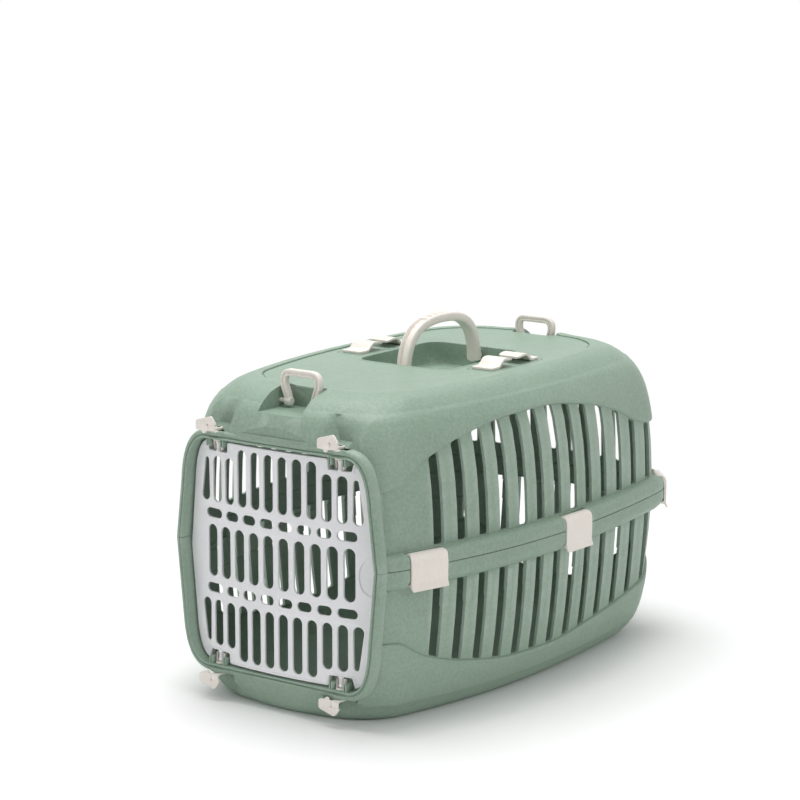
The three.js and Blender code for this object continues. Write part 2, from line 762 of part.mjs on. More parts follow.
// The grille door: five rows of openings in a bowed plate with a turned edge and four pins
function door() {
  const shape = doorOutline(doorClearance);
  const middle = (sillZ + archTop) / 2;
  const ovalMiddle = middleSlotHeight / 2 + doorBar + ovalHeight / 2;
  const endFrom = ovalMiddle + ovalHeight / 2 + doorBar;
  for (let at = 0; at < middleSlots; at += 1) {
    const x = (at - (middleSlots - 1) / 2) * middleSlotPitch;
    const half = middleSlotHeight / 2;
    shape.holes.push(slotHole(x, middle - half, middle + half, middleSlotWidth));
  }
  for (const side of [1, -1]) {
    for (let at = 0; at < ovals; at += 1) {
      const x = (at - (ovals - 1) / 2) * ovalPitch;
      const z = middle + side * ovalMiddle;
      shape.holes.push(lyingHole(x, z, ovalWidth, ovalHeight));
    }
    for (let at = 0; at < endSlots; at += 1) {
      const x = (at - (endSlots - 1) / 2) * endSlotPitch;
      const edge = (archTop - sillZ) / 2 - doorEdge(x);
      const low = side > 0 ? middle + endFrom : middle - edge;
      const high = side > 0 ? middle + edge : middle - endFrom;
      shape.holes.push(slotHole(x, low, high, endSlotWidth));
    }
  }
  let plate = slabXZ(shape, 0, doorThickness, doorCurveSteps);
  const rimShape = doorOutline(doorClearance);
  rimShape.holes.push(doorOutline(doorClearance + doorEdgeWidth));
  plate = plate.add(slabXZ(rimShape, 0, doorEdgeDepth, doorCurveSteps));
  const notches = [pinX, -pinX].flatMap((x) => [
    box([x - doorNotchHalf, -overrun, archTop - doorNotchDepth - doorClearance],
      [x + doorNotchHalf, doorEdgeDepth + overrun, archTop]),
    box([x - doorNotchHalf, -overrun, sillZ], [x + doorNotchHalf, doorEdgeDepth + overrun,
      sillZ + doorNotchDepth + doorClearance]),
  ]);
  plate = plate.subtract(joined(notches));
  const bent = geometryOf(plate);
  const position = bent.attributes.position;
  for (let at = 0; at < position.count; at += 1) {
    position.setY(at, position.getY(at) + doorY(position.getX(at)) - doorThickness / 2);
  }
  let solid = solidOf(bent);
  const tip = jawCap + clearance * 3;
  const reach = doorNotchDepth + doorClearance - tip;
  for (const x of [pinX, -pinX]) {
    for (const [edge, up] of [[archTop, 1], [sillZ, -1]]) {
      const post = bar(pinRadius, reach + wall, 'z', [x, pinY, edge - up * (tip + (reach + wall) / 2)], pinSides);
      const head = bar(pinHeadRadius, pinHeadHeight, 'z', [x, pinY, edge - up * (tip + pinHeadHeight / 2)], pinSides);
      const foot = bar(pinHeadRadius, pinHeadHeight, 'z', [x, pinY, edge - up * (tip + reach)], pinSides);
      solid = solid.add(post).add(head).add(foot);
    }
  }
  return solid;
}

// A turning latch about its own upright line, with the lip's inner face at zero. Its jaw is
// open to the front, and a quarter turn of the lever closes it round a pin of the door. The
// sill's latches are the arch's turned upside down.
function latch(up) {
  const jawShape = new THREE.Shape();
  const open = THREE.MathUtils.degToRad(jawOpenHalf);
  jawShape.absarc(0, 0, jawInner + jawWall, -quarter + open, quarter * 3 - open, false);
  jawShape.absarc(0, 0, jawInner, quarter * 3 - open, -quarter + open, true);
  const jaw = slabXY(jawShape, -clearance - jawHeight, -clearance - jawCap / 2, jawSteps);
  const cap = bar(jawInner + jawWall, jawCap, 'z', [0, 0, -clearance - jawCap / 2], pinSides);
  const armTop = lipWidth + clearance + latchArmHeight;
  const stem = bar(latchStem, armTop + clearance + jawCap / 2, 'z', [0, 0, (armTop - clearance - jawCap / 2) / 2]);
  const arm = box([-latchArmHalf, -leverForward, lipWidth + clearance], [latchArmHalf, latchStem, armTop]);
  const plate = new THREE.Shape();
  const low = lipWidth + clearance;
  const high = low + leverHeight;
  const bend = leverHeight * leverBendShare;
  plate.moveTo(-leverLong + bend, low);
  plate.lineTo(leverShort - bend, low);
  plate.lineTo(leverShort, low + bend);
  plate.lineTo(leverShort - bend, high - bend / 2);
  plate.lineTo(0, high);
  plate.quadraticCurveTo(-leverLong, high - bend / 2, -leverLong, low + leverHeight / 2);
  plate.quadraticCurveTo(-leverLong, low, -leverLong + bend, low);
  const lever = slabXZ(plate, -leverForward - leverThickness / 2, -leverForward + leverThickness / 2, leverSteps);
  const solid = joined([jaw, cap, stem, arm, lever]);
  return up > 0 ? solid : solid.mirror([0, 0, 1]);
}

const latchPlaces = [
  { name: 'latch_lid_left', x: -pinX, up: 1 },
  { name: 'latch_lid_right', x: pinX, up: 1 },
  { name: 'latch_base_left', x: -pinX, up: -1 },
  { name: 'latch_base_right', x: pinX, up: -1 },
];

// A side clip in the frame of its place on the rim: X outwards, Y along the rim
function clip(width) {
  const eye = lidRodRise + clearance;
  const outer = clipRod + clearance + clipEyeWall;
  const under = -baseRodDrop - clipRod - clearance;
  const low = under - clipThickness;
  const lipIn = -clipRodInset - clipRod - clearance;
  const inner = clipProud - clipThickness;
  const shape = new THREE.Shape();
  shape.moveTo(-clipRodInset, eye + outer);
  shape.quadraticCurveTo(clipProud, eye + outer, clipProud, eye - clipThickness);
  shape.lineTo(clipProud, low + clipThickness);
  shape.lineTo(clipProud + clipThickness, low - clipTail);
  shape.lineTo(inner + clipThickness / 2, low - clipTail);
  shape.lineTo(inner - clipThickness / 2, low);
  shape.lineTo(lipIn - clipThickness, low);
  shape.lineTo(lipIn - clipThickness, under + clipLipHeight);
  shape.lineTo(lipIn, under + clipLipHeight);
  shape.lineTo(lipIn, under);
  shape.lineTo(inner, under);
  shape.lineTo(inner, eye - outer);
  shape.lineTo(-clipRodInset, eye - outer);
  shape.quadraticCurveTo(-clipRodInset - outer, eye - outer, -clipRodInset - outer, eye);
  shape.quadraticCurveTo(-clipRodInset - outer, eye + outer, -clipRodInset, eye + outer);
  const body = slabXZ(shape, -width / 2, width / 2, clipSteps);
  return body.subtract(bar(clipRod + clearance, width + overrun, 'y', [-clipRodInset, 0, eye], pinSides));
}

// The main handle, standing on its pivot line along Y
function handle() {
  const half = handleSection / 2;
  const [legX, legZ, topX] = handleCurveShares;
  const out = handleFoot + half;
  const high = handleRise + half;
  const inside = handleFoot - half;
  const low = handleRise - half;
  const shape = new THREE.Shape();
  shape.moveTo(-out, -half);
  shape.bezierCurveTo(-out * legX, high * legZ, -out * topX, high, 0, high);
  shape.bezierCurveTo(out * topX, high, out * legX, high * legZ, out, -half);
  shape.lineTo(inside, -half);
  shape.bezierCurveTo(inside * legX, low * legZ, inside * topX, low, 0, low);
  shape.bezierCurveTo(-inside * topX, low, -inside * legX, low * legZ, -inside, -half);
  let solid = slabXZ(shape, -handleWidth / 2, handleWidth / 2, handleSteps);
  for (let at = 0; at < gripRibs; at += 1) {
    const x = (at - (gripRibs - 1) / 2) * gripRibPitch;
    const rise = high * (1 - gripFallShare * (x / out) ** 2);
    solid = solid.add(box(
      [x - gripRibWidth / 2, -handleWidth / 2, rise - handleSection / 2],
      [x + gripRibWidth / 2, handleWidth / 2, rise + gripRibHeight],
    ));
  }
  const reach = wellHalfY - out + wellWall;
  for (const side of [1, -1]) {
    solid = solid.add(bar(handlePin, reach + half, 'x', [side * (out + (reach - half) / 2), 0, 0]));
  }
  return solid.rotate([0, 0, 90]);
}

// A strap loop, standing on its pivot line along X
function strapLoop() {
  const half = loopSection / 2;
  const [lowShare, waistShare, shoulderShare, topShare] = loopCurveShares;
  const contour = (grow) => {
    const foot = loopHalfFoot + grow;
    const top = loopHalfTop + grow;
    const high = loopRise + grow;
    const path = new THREE.Shape();
    path.moveTo(-foot, -half);
    path.bezierCurveTo(-foot, high * lowShare, -top, high * waistShare, -top, high * shoulderShare);
    path.quadraticCurveTo(-top, high, -top * topShare, high);
    path.lineTo(top * topShare, high);
    path.quadraticCurveTo(top, high, top, high * shoulderShare);
    path.bezierCurveTo(top, high * waistShare, foot, high * lowShare, foot, -half);
    return path;
  };
  const outer = slabXZ(contour(half), -half, half, loopSteps);
  const hole = slabXZ(contour(-half), -half - overrun, half + overrun, loopSteps).translate([0, 0, -clearance]);
  const reach = loopPocketHalf - loopHalfFoot - half + wall;
  const pins = [1, -1].map((side) => (
    bar(loopPin, reach + half, 'x', [side * (loopHalfFoot + half + (reach - half) / 2), 0, 0])
  ));
  return outer.subtract(hole).add(joined(pins));
}

// A belt hook: a foot on the lid, a rise and a tongue that reaches towards its partner
function beltHook() {
  const [foot, bend, crest] = hookPlaceShares.map((share) => hookLength * share);
  const tip = hookRise * hookTipShare;
  const shape = new THREE.Shape();
  shape.moveTo(0, 0);
  shape.lineTo(foot, 0);
  shape.bezierCurveTo(bend, 0, bend, hookRise, crest, hookRise);
  shape.lineTo(hookLength, tip);
  shape.lineTo(hookLength, tip + hookThickness);
  shape.lineTo(crest, hookRise + hookThickness);
  shape.bezierCurveTo(bend - hookThickness / 2, hookRise + hookThickness, bend - hookThickness, hookThickness,
    foot - hookThickness / 2, hookThickness);
  shape.lineTo(0, hookThickness);
  return slabXZ(shape, -hookWidth / 2, hookWidth / 2, hookSteps).rotate([0, 0, 90]);
}

// Gives a solid a name, a colour and a finish
function piece(name, solid, colour, roughness) {
  const material = new THREE.MeshStandardMaterial({ color: colour, roughness, metalness: 0 });
  const mesh = new THREE.Mesh(geometryOf(solid), material);
  mesh.name = name;
  return mesh;
}

const green = 0x8eab96;
const beige = 0xeee6de;
const white = 0xe8e9ec;
const matt = 0.55;
const smooth = 0.4;

const carrier = new THREE.Group();
carrier.add(piece('base_shell', baseShell(), green, matt));
carrier.add(piece('lid_shell', lidShell(), green, matt));
carrier.add(piece('door', door(), white, smooth));

for (const { name, x, up } of latchPlaces) {
  const mesh = piece(name, latch(up), beige, smooth);
  mesh.position.set(x, pinY, up > 0 ? archTop : sillZ);
  carrier.add(mesh);
}

for (const place of clipPlaces) {
  const mesh = piece(place.name, clip(place.width), beige, smooth);
  mesh.position.set(place.x, place.y, rimZ);
  mesh.rotation.set(0, 0, place.turn);
  carrier.add(mesh);
}

const mainHandle = piece('main_handle', handle(), beige, smooth);
mainHandle.position.set(0, wellY, handlePivotZ);
carrier.add(mainHandle);

for (const { name, pivotY } of loopEnds) {
  const mesh = piece(name, strapLoop(), beige, smooth);
  mesh.position.set(0, pivotY, loopPivotZ);
  carrier.add(mesh);
}

for (const [sideName, side] of [['right', 1], ['left', -1]]) {
  for (const [endName, end] of [['front', -1], ['rear', 1]]) {
    const mesh = piece(`belt_hook_${endName}_${sideName}`, beltHook(), beige, smooth);
    mesh.position.set(side * hookX, wellY + end * (hookLength + hookGap / 2), topZ - panelRecess + clearance);
    if (end > 0) mesh.rotation.set(0, 0, quarter * 2);
    carrier.add(mesh);
  }
}

export default carrier;
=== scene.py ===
import bisect
import math

import bmesh
import bpy
from mathutils import Matrix, Vector


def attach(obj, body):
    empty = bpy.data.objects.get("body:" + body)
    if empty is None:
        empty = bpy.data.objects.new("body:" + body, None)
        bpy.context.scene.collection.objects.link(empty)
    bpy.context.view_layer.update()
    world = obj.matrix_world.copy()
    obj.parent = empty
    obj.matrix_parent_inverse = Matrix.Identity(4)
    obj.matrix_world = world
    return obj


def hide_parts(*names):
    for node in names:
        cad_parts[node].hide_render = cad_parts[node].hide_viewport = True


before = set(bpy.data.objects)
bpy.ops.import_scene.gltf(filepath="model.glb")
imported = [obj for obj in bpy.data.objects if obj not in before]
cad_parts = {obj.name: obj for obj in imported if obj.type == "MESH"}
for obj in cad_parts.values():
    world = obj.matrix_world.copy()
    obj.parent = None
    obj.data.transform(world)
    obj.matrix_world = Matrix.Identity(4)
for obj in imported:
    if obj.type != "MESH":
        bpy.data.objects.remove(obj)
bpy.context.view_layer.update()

# A two-part slatted pet carrier in moulded plastic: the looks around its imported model.
# Sizes are millimetres, with the front towards -Y. Every mesh is scaled to metres when it is made.
millimetre = 0.001

carrier = {
    "frontY": -242,
    "rearY": 241,
    "halfFront": 121,
    "halfMiddle": 165,
    "halfRear": 141,
    "frontFace": -247,
    "frontBow": 5,
    "rearBow": 11,
    "frontRadius": 45,
    "rearRadius": 56,
    "rimRadiusShare": 0.27,
    "rearRun": 130,
    "rimZ": 150,
    "lidZ": 150.3,
    "topZ": 300.3,
    "height": 150,
    "wall": 3,
    "proud": 3,
    "bandDepth": 13,
}
frontY, rearY = carrier["frontY"], carrier["rearY"]
bendEnd = -227
rimZ, lidZ, topZ, height = carrier["rimZ"], carrier["lidZ"], carrier["topZ"], carrier["height"]


# A table of pairs read as one smooth curve without overshoot
def smoothCurve(table):
    places, values = zip(*table)
    steps = [(b - a) / (q - p) for p, q, a, b in zip(places, places[1:], values, values[1:])]
    slopes = [steps[0]] + [0 if a * b <= 0 else 2 * a * b / (a + b) for a, b in zip(steps, steps[1:])] + [steps[-1]]

    def read(place):
        place = min(max(place, places[0]), places[-1])
        at = min(bisect.bisect_right(places, place) - 1, len(places) - 2)
        span = places[at + 1] - places[at]
        t = (place - places[at]) / span
        return ((1 + 2 * t) * (1 - t) ** 2 * values[at] + t * (1 - t) ** 2 * span * slopes[at]
                + t * t * (3 - 2 * t) * values[at + 1] + t * t * (t - 1) * span * slopes[at + 1])

    return read


def mix(a, b, t):
    return a + (b - a) * t


# How each half draws in from the rim, by its share of the height
baseForm = {
    "draft": 43,
    "frontDraft": 16,
    "side": smoothCurve([(0, 1), (0.03, 0.82), (0.1, 0.63), (0.22, 0.48), (0.42, 0.37), (0.87, 0.25), (1, 0.24)]),
    "front": smoothCurve([(0, 1), (0.03, 0.6), (0.1, 0.35), (0.22, 0.08), (0.42, 0), (1, 0)]),
    "radius": smoothCurve([(0, 1), (0.1, 0.92), (0.22, 0.72), (0.42, 0.36), (0.6, 0.27), (1, 0.27)]),
    "edge": smoothCurve([(0, 0.545), (0.06, 0.53), (0.13, 0.42), (0.25, 0.32), (0.42, 0.255), (0.55, 0.25),
                         (0.7, 0.29), (0.85, 0.34), (1, 0.41), (1.05, 0.49), (1.19, 0.54), (1.38, 0.45),
                         (1.5, 0.37), (1.65, 0.25), (2, 0.205)]),
}
lidForm = {
    "draft": 58,
    "frontDraft": 46,
    "side": smoothCurve([(0, 0.178), (0.12, 0.18), (0.33, 0.2), (0.53, 0.25), (0.7, 0.33), (0.81, 0.43),
                         (0.9, 0.58), (0.96, 0.75), (0.985, 0.87), (1, 1)]),
    "front": smoothCurve([(0, 0), (0.6, 0), (0.68, 0.02), (0.8, 0.1), (0.9, 0.29), (0.96, 0.54), (0.985, 0.75),
                          (1, 1)]),
    "radius": smoothCurve([(0, 0.27), (0.12, 0.3), (0.5, 0.7), (0.7, 0.95), (1, 0.95)]),
    "edge": smoothCurve([(0, 0.44), (0.07, 0.5), (0.13, 0.62), (0.26, 0.74), (0.4, 0.795), (0.52, 0.8),
                         (0.68, 0.745), (0.82, 0.64), (0.92, 0.52), (1, 0.47), (1.05, 0.45), (1.19, 0.43),
                         (1.38, 0.5), (1.5, 0.58), (1.65, 0.7), (2, 0.75)]),
}


# Half the width of the rim at a place along it
def rimHalf(y):
    end, reach = (carrier["halfFront"], frontY) if y < 0 else (carrier["halfRear"], rearY)
    return carrier["halfMiddle"] - (carrier["halfMiddle"] - end) * (y / reach) ** 2


# The wall's plan at a share of the height, moved in by an offset: inset, front, radius
def levelOf(form, share, offset):
    inset = form["draft"] * form["side"](share) + offset
    return inset, form["frontDraft"] * form["front"](share) + offset, carrier["frontRadius"] * form["radius"](share)


def rimLevel(inset):
    return inset, 0 if inset < carrier["bandDepth"] else inset, carrier["frontRadius"] * carrier["rimRadiusShare"]


# A station is a section of the half outline and how far along it: 0 front, 1 front corner,
# 2 side, 3 rear corner, 4 rear
def planPoint(level, station):
    inset, front, radius = level
    section, t = station
    near, far, rear = frontY + front, rearY - inset, carrier["rearRadius"]
    sideFrom, sideTo = near + radius, far - rear
    if section == 0:
        x = (rimHalf(near) - inset - radius) * t
        return x, near - carrier["frontBow"] * (1 - t * t)
    if section == 1:
        turn = t * math.pi / 2
        y = near + radius * (1 - math.cos(turn))
        return rimHalf(y) - inset - radius * (1 - math.sin(turn)), y
    if section == 2:
        y = mix(sideFrom, sideTo, t)
        return rimHalf(y) - inset, y
    if section == 3:
        turn = t * math.pi / 2
        y = sideTo + rear * math.sin(turn)
        return rimHalf(y) - inset - rear * (1 - math.cos(turn)), y
    x = (rimHalf(far) - inset - rear) * (1 - t)
    return x, far + carrier["rearBow"] * (1 - (1 - t) ** 2)


# The station of a place along the side
def sideStation(level, y):
    inset, front, radius = level
    near, far, rear = frontY + front, rearY - inset, carrier["rearRadius"]
    sideFrom, sideTo = near + radius, far - rear
    if y < sideFrom:
        return 1, math.acos(max(-1, min(1, 1 - (y - near) / radius))) / (math.pi / 2)
    if y <= sideTo:
        return 2, (y - sideFrom) / (sideTo - sideFrom)
    return 3, math.asin(min(1, (y - sideTo) / rear)) / (math.pi / 2)


# Part of the way from the front's end round its corner to where the fixed columns start
def bendStation(level, part):
    section, t = sideStation(level, bendEnd)
    if section == 1:
        return 1, t * part
    inset, front, radius = level
    bend = radius * math.pi / 2
    side = rearY - inset - carrier["rearRadius"] - frontY - front - radius
    reach = (bend + t * side) * part
    return (1, reach / bend) if reach < bend else (2, (reach - bend) / side)


# How far along a corner of the plan its x passes a value, found by halving
def cornerShare(level, section, x):
    low, high = 0, 1
    for _ in range(24):
        middle = (low + high) / 2
        if (planPoint(level, (section, middle))[0] > x) == (section == 3):
            low = middle
        else:
            high = middle
    return low


# The station of a place across the rear
def rearStation(level, x):
    inset = level[0]
    end = rimHalf(rearY - inset) - inset - carrier["rearRadius"]
    return (4, 1 - x / end) if x <= end else (3, cornerShare(level, 3, x))


# How far round the shell a point lies: 0 front, 1 rear corner, 2 middle of the rear
def placeAlong(x, y):
    sideEnd = rearY - carrier["rearRadius"]
    if y < sideEnd:
        return max(0, (y - frontY) / (sideEnd - frontY))
    return min(2, max(1, 2 - abs(x) / carrier["rearRun"]))


slots = {
    "width": 12,
    "corner": 2,
    "sideShares": [0.141, 0.199, 0.255, 0.311, 0.367, 0.422, 0.48, 0.538, 0.596, 0.658, 0.725, 0.793, 0.865],
    "rearCount": 8,
    "rearPitch": 30,
}
slotHalf = slots["width"] / 2
sideSlots = [mix(frontY, rearY, share) for share in slots["sideShares"]]
rearSlots = [(at + 0.5) * slots["rearPitch"] for at in range(slots["rearCount"] // 2)]
lastSide, firstRear = sideSlots[-1] + slotHalf, rearSlots[-1] + slotHalf

clips = {
    "front": {"y": -194.432, "x": 135.332, "turn": -15.8, "width": 42},
    "middle": {"y": 9.811, "x": 164.525, "turn": -2.01, "width": 42},
    "corner": {"y": 214.361, "x": 136.417, "turn": 40.24, "width": 26},
    "rear": {"y": 252, "x": 0, "turn": 90, "width": 42},
    "side": 1,
    "pocket": 9.5,
    "step": 0.5,
}
cornerPocket = (0.27, 0.745)


# Gives a column its place across the slot that it lies in, where there is one
def inSlot(column, middles):
    for middle in middles:
        if abs(column["value"] - middle) <= slotHalf + 0.001:
            column["slot"] = column["value"] - middle
    return column


# Columns of the shells from the middle of the front to the middle of the rear. Each has a kind
# and a value, and may lie in a slot or a clip pocket.
def shellColumns():
    columns = []
    for x in [0, 15, 30, 42, 52, 56, 57.2, 58.5, 61, 64, 67.5, 71, 74.5, 78, 81, 83.5, 84.8, 86, 90, 96, 102]:
        columns.append({"kind": "front", "value": (0, x / 109)})
    for at in range(1, 13):
        columns.append({"kind": "bend", "value": at / 12})
    sides = set()
    for y in sideSlots:
        for off in (slotHalf, slotHalf - 0.6, slotHalf - slots["corner"]):
            sides.update((round(y - off, 3), round(y + off, 3)))
    sides.update((-226, -221, -208, -200, -192, -185))
    for a, b in zip(sideSlots, sideSlots[1:]):
        sides.add(round((a + b) / 2, 3))
    pocketAt = []
    for name in ("front", "middle"):
        clip = clips[name]
        reach = (clip["width"] / 2 + clips["side"]) * math.cos(math.radians(clip["turn"]))
        for sign in (-1, 1):
            edge = clip["y"] + sign * reach
            atSlot = {y for y in sides if any(abs(abs(y - s) - slotHalf) < 0.01 for s in sideSlots)}
            sides = {y for y in sides if abs(y - edge) > 1.2 or y in atSlot}
            sides.update((round(edge, 3), round(edge - sign * clips["step"], 3)))
        pocketAt.append((clip["y"] - reach + 0.1, clip["y"] + reach - 0.1))
    for y in sorted(sides):
        pocket = any(low < y < high for low, high in pocketAt)
        columns.append(inSlot({"kind": "side", "value": y, "pocket": pocket}, sideSlots))
    low, high = cornerPocket
    for f in [0.09, 0.18, low, low + 0.012, 0.35, 0.44, 0.52, 0.6, 0.68, high - 0.012, high, 0.83, 0.92]:
        columns.append({"kind": "corner", "value": f, "pocket": low < f < high})
    reach = clips["rear"]["width"] / 2 + clips["side"]
    rears = {0, reach, reach - clips["step"]}
    for x in rearSlots:
        for off in (slotHalf, slotHalf - 0.6, slotHalf - slots["corner"]):
            rears.update((x - off, x + off))
        rears.add(x + slots["rearPitch"] / 2)
    rears.discard(rearSlots[-1] + slots["rearPitch"] / 2)
    rears = {x for x in rears if x in (reach, reach - clips["step"]) or abs(x - reach) > 1 or abs(x - 21) < 0.01}
    for x in sorted(rears, reverse=True):
        columns.append(inSlot({"kind": "rear", "value": x, "pocket": x < reach - 0.1}, rearSlots))
    return columns


# The station of a column at a level
def stationOf(level, column):
    kind, value = column["kind"], column["value"]
    if kind == "front":
        return value
    if kind == "side":
        return sideStation(level, value)
    if kind == "rear":
        return rearStation(level, value)
    if kind == "bend":
        return bendStation(level, value)
    first, last = sideStation(level, lastSide), rearStation(level, firstRear)
    turn = mix(first[1] if first[0] == 3 else 0, last[1] if last[0] == 3 else 1, value)
    return 3, turn


def columnPoint(level, column):
    return planPoint(level, stationOf(level, column))


# Part of a mesh: points and faces. Parts are joined before the object is made.
def joinParts(parts):
    points, faces = [], []
    for partPoints, partFaces in parts:
        start = len(points)
        points += partPoints
        faces += [[start + at for at in face] for face in partFaces]
    return points, faces


# A solid through rings of points, all with the same count
def loft(rings, closed=False):
    size, count = len(rings[0]), len(rings)
    points = [point for ring in rings for point in ring]
    faces = [] if closed else [list(range(size))[::-1], list(range((count - 1) * size, count * size))]
    for ring in range(count if closed else count - 1):
        low, high = ring * size, (ring + 1) % count * size
        for at in range(size):
            after = (at + 1) % size
            faces.append([low + at, low + after, high + after, high + at])
    return points, faces


# A wall with an outer and an inner grid of the same layout. Cells that aren't present are
# openings, with a jamb round each.
def wallGrid(outer, inner, present, capLow, capHigh):
    count, rows = len(outer), len(outer[0])
    points, faces, kinds, index = [], [], [], {}

    def at(layer, j, i):
        key = (layer, j % count, i)
        if key not in index:
            index[key] = len(points)
            points.append((outer if layer == 0 else inner)[j % count][i])
        return index[key]

    for j in range(count):
        for i in range(rows - 1):
            if not present(j, i):
                continue
            faces.append([at(0, j, i), at(0, j + 1, i), at(0, j + 1, i + 1), at(0, j, i + 1)])
            faces.append([at(1, j, i), at(1, j, i + 1), at(1, j + 1, i + 1), at(1, j + 1, i)])
            # Each face of the inner grid takes the second material, on the shells the green darkened as painted
            # shade
            kinds += [0] * (len(faces) - len(kinds) - 1) + [1]
            if i == 0 and not capLow or i > 0 and not present(j, i - 1):
                faces.append([at(0, j, i), at(1, j, i), at(1, j + 1, i), at(0, j + 1, i)])
            if i == rows - 2 and not capHigh or i < rows - 2 and not present(j, i + 1):
                faces.append([at(0, j, i + 1), at(0, j + 1, i + 1), at(1, j + 1, i + 1), at(1, j, i + 1)])
            if not present((j - 1) % count, i):
                faces.append([at(0, j, i), at(0, j, i + 1), at(1, j, i + 1), at(1, j, i)])
            if not present((j + 1) % count, i):
                faces.append([at(0, j + 1, i), at(1, j + 1, i), at(1, j + 1, i + 1), at(0, j + 1, i + 1)])
    for cap, row, turns in ((capLow, 0, (1, 0)), (capHigh, rows - 1, (0, 1))):
        if cap:
            for layer, flip in zip((0, 1), turns):
                ring = [at(layer, j, row) for j in range(count)]
                kinds += [0] * (len(faces) - len(kinds)) + [layer]
                faces.append(ring[::-1] if flip else ring)
    return points, faces, kinds + [0] * (len(faces) - len(kinds))


# The solid inside an outer grid alone
def outerSolid(outer):
    return loft([[column[row] for column in outer] for row in range(len(outer[0]))])


flute = {"x": 71, "half": 14.3, "floor": 11, "corner": 5, "baseTop": 27, "lidFrom": 257, "lidTop": 296, "least": 4,
         "fade": 18, "blend": 2.5}


# How far back the front is drawn by the grooves beside the opening
def fluteY(x, grow):
    off = abs(abs(x) - flute["x"])
    half = flute["half"] + grow
    if off >= half:
        return -1e9
    floor = frontY + flute["floor"] + grow
    corner = flute["corner"] + grow
    past = max(0, off - (half - corner))
    return floor - corner + math.sqrt(max(0, corner * corner - past * past)) - (0 if past < corner else 1e3)


# The grooves keep a little depth up the lid, and fade out at its top
def fluteLeast(z):
    return flute["least"] * min(1, max(0, flute["lidTop"] - z) / flute["fade"])


# The larger of two places, with a rounded change from one to the other
def softMax(a, b):
    reach = flute["blend"]
    share = min(1, max(0, 0.5 + 0.5 * (a - b) / reach))
    return mix(b, a, share) + 0.6 * reach * share * (1 - share)


# A place of the lid's front, drawn back where a groove passes
def fluted(x, y, z, grow):
    deep = fluteY(x, grow) if flute["lidTop"] > z > flute["lidFrom"] else -1e9
    if deep <= -1e3:
        return y
    return softMax(deep, y + (fluteLeast(z) if deep > frontY + flute["floor"] + grow - 1 else 0))


# The columns of both sides, from those of the right side
def mirrored(rightColumns):
    left = [[(-x, y, z) for x, y, z in column] for column in rightColumns[1:-1]]
    return rightColumns + left[::-1]


edgeRoll = [(-3, -3.2), (-2.8, -1.6), (-2.1, -0.5), (-1.0, 0), (0, 0.3)]
innerRoll = [0.6, 0.7, 1.4, 2.4, 3]
baseRim = [(131.2, 7.15), (132.6, 4.6), (134.8, 2.6), (137.4, 0.9), (140, 0.1), (142, 0), (149, 0), (149.7, 0.3),
           (150, 1)]
lidBead = [(150.3, 1), (150.6, 0.3), (151.3, 0), (157, 0), (159.4, 0.5), (161.4, 2), (163, 4.6), (164, 7.6)]
insideSteps = {"low": 105, "high": 126, "depth": 0.8}
baseLine = {"z": 16.6, "step": 0.6}
lidLine = {"z": 286, "step": 0.8}


# How far the end of a slot rises towards its rounded corners
def footRise(column):
    corner = slots["corner"]
    past = max(0, abs(column.get("slot", 0)) - (slotHalf - corner))
    return corner - math.sqrt(max(0, corner * corner - past * past)) if "slot" in column else 0


# Tells which cells of a wall's grid are wall and not slot
def slotCells(columns, mirroredCount, firstRow, lastRow):
    right = len(columns)
    inside = [
        "slot" in a and "slot" in b and abs((a["slot"] + b["slot"]) / 2) < slotHalf
        for a, b in zip(columns, columns[1:])
    ]

    def present(j, i):
        if not firstRow <= i < lastRow:
            return True
        at = j if j < right - 1 else mirroredCount - 1 - j
        return not inside[at]

    return present


# The outer and inner points of a column on the rim or the bead, drawn in where a clip lies
def rimRows(rows, column, flatZ):
    deep = clips["pocket"] if column.get("pocket") else 0
    out, ins = [], []
    for z, inset in rows:
        out.append((*columnPoint(rimLevel(max(inset, deep)), column), z))
        ins.append((*columnPoint(rimLevel(carrier["bandDepth"] - (0.6 if z == flatZ else 0)), column), z))
    return out, ins


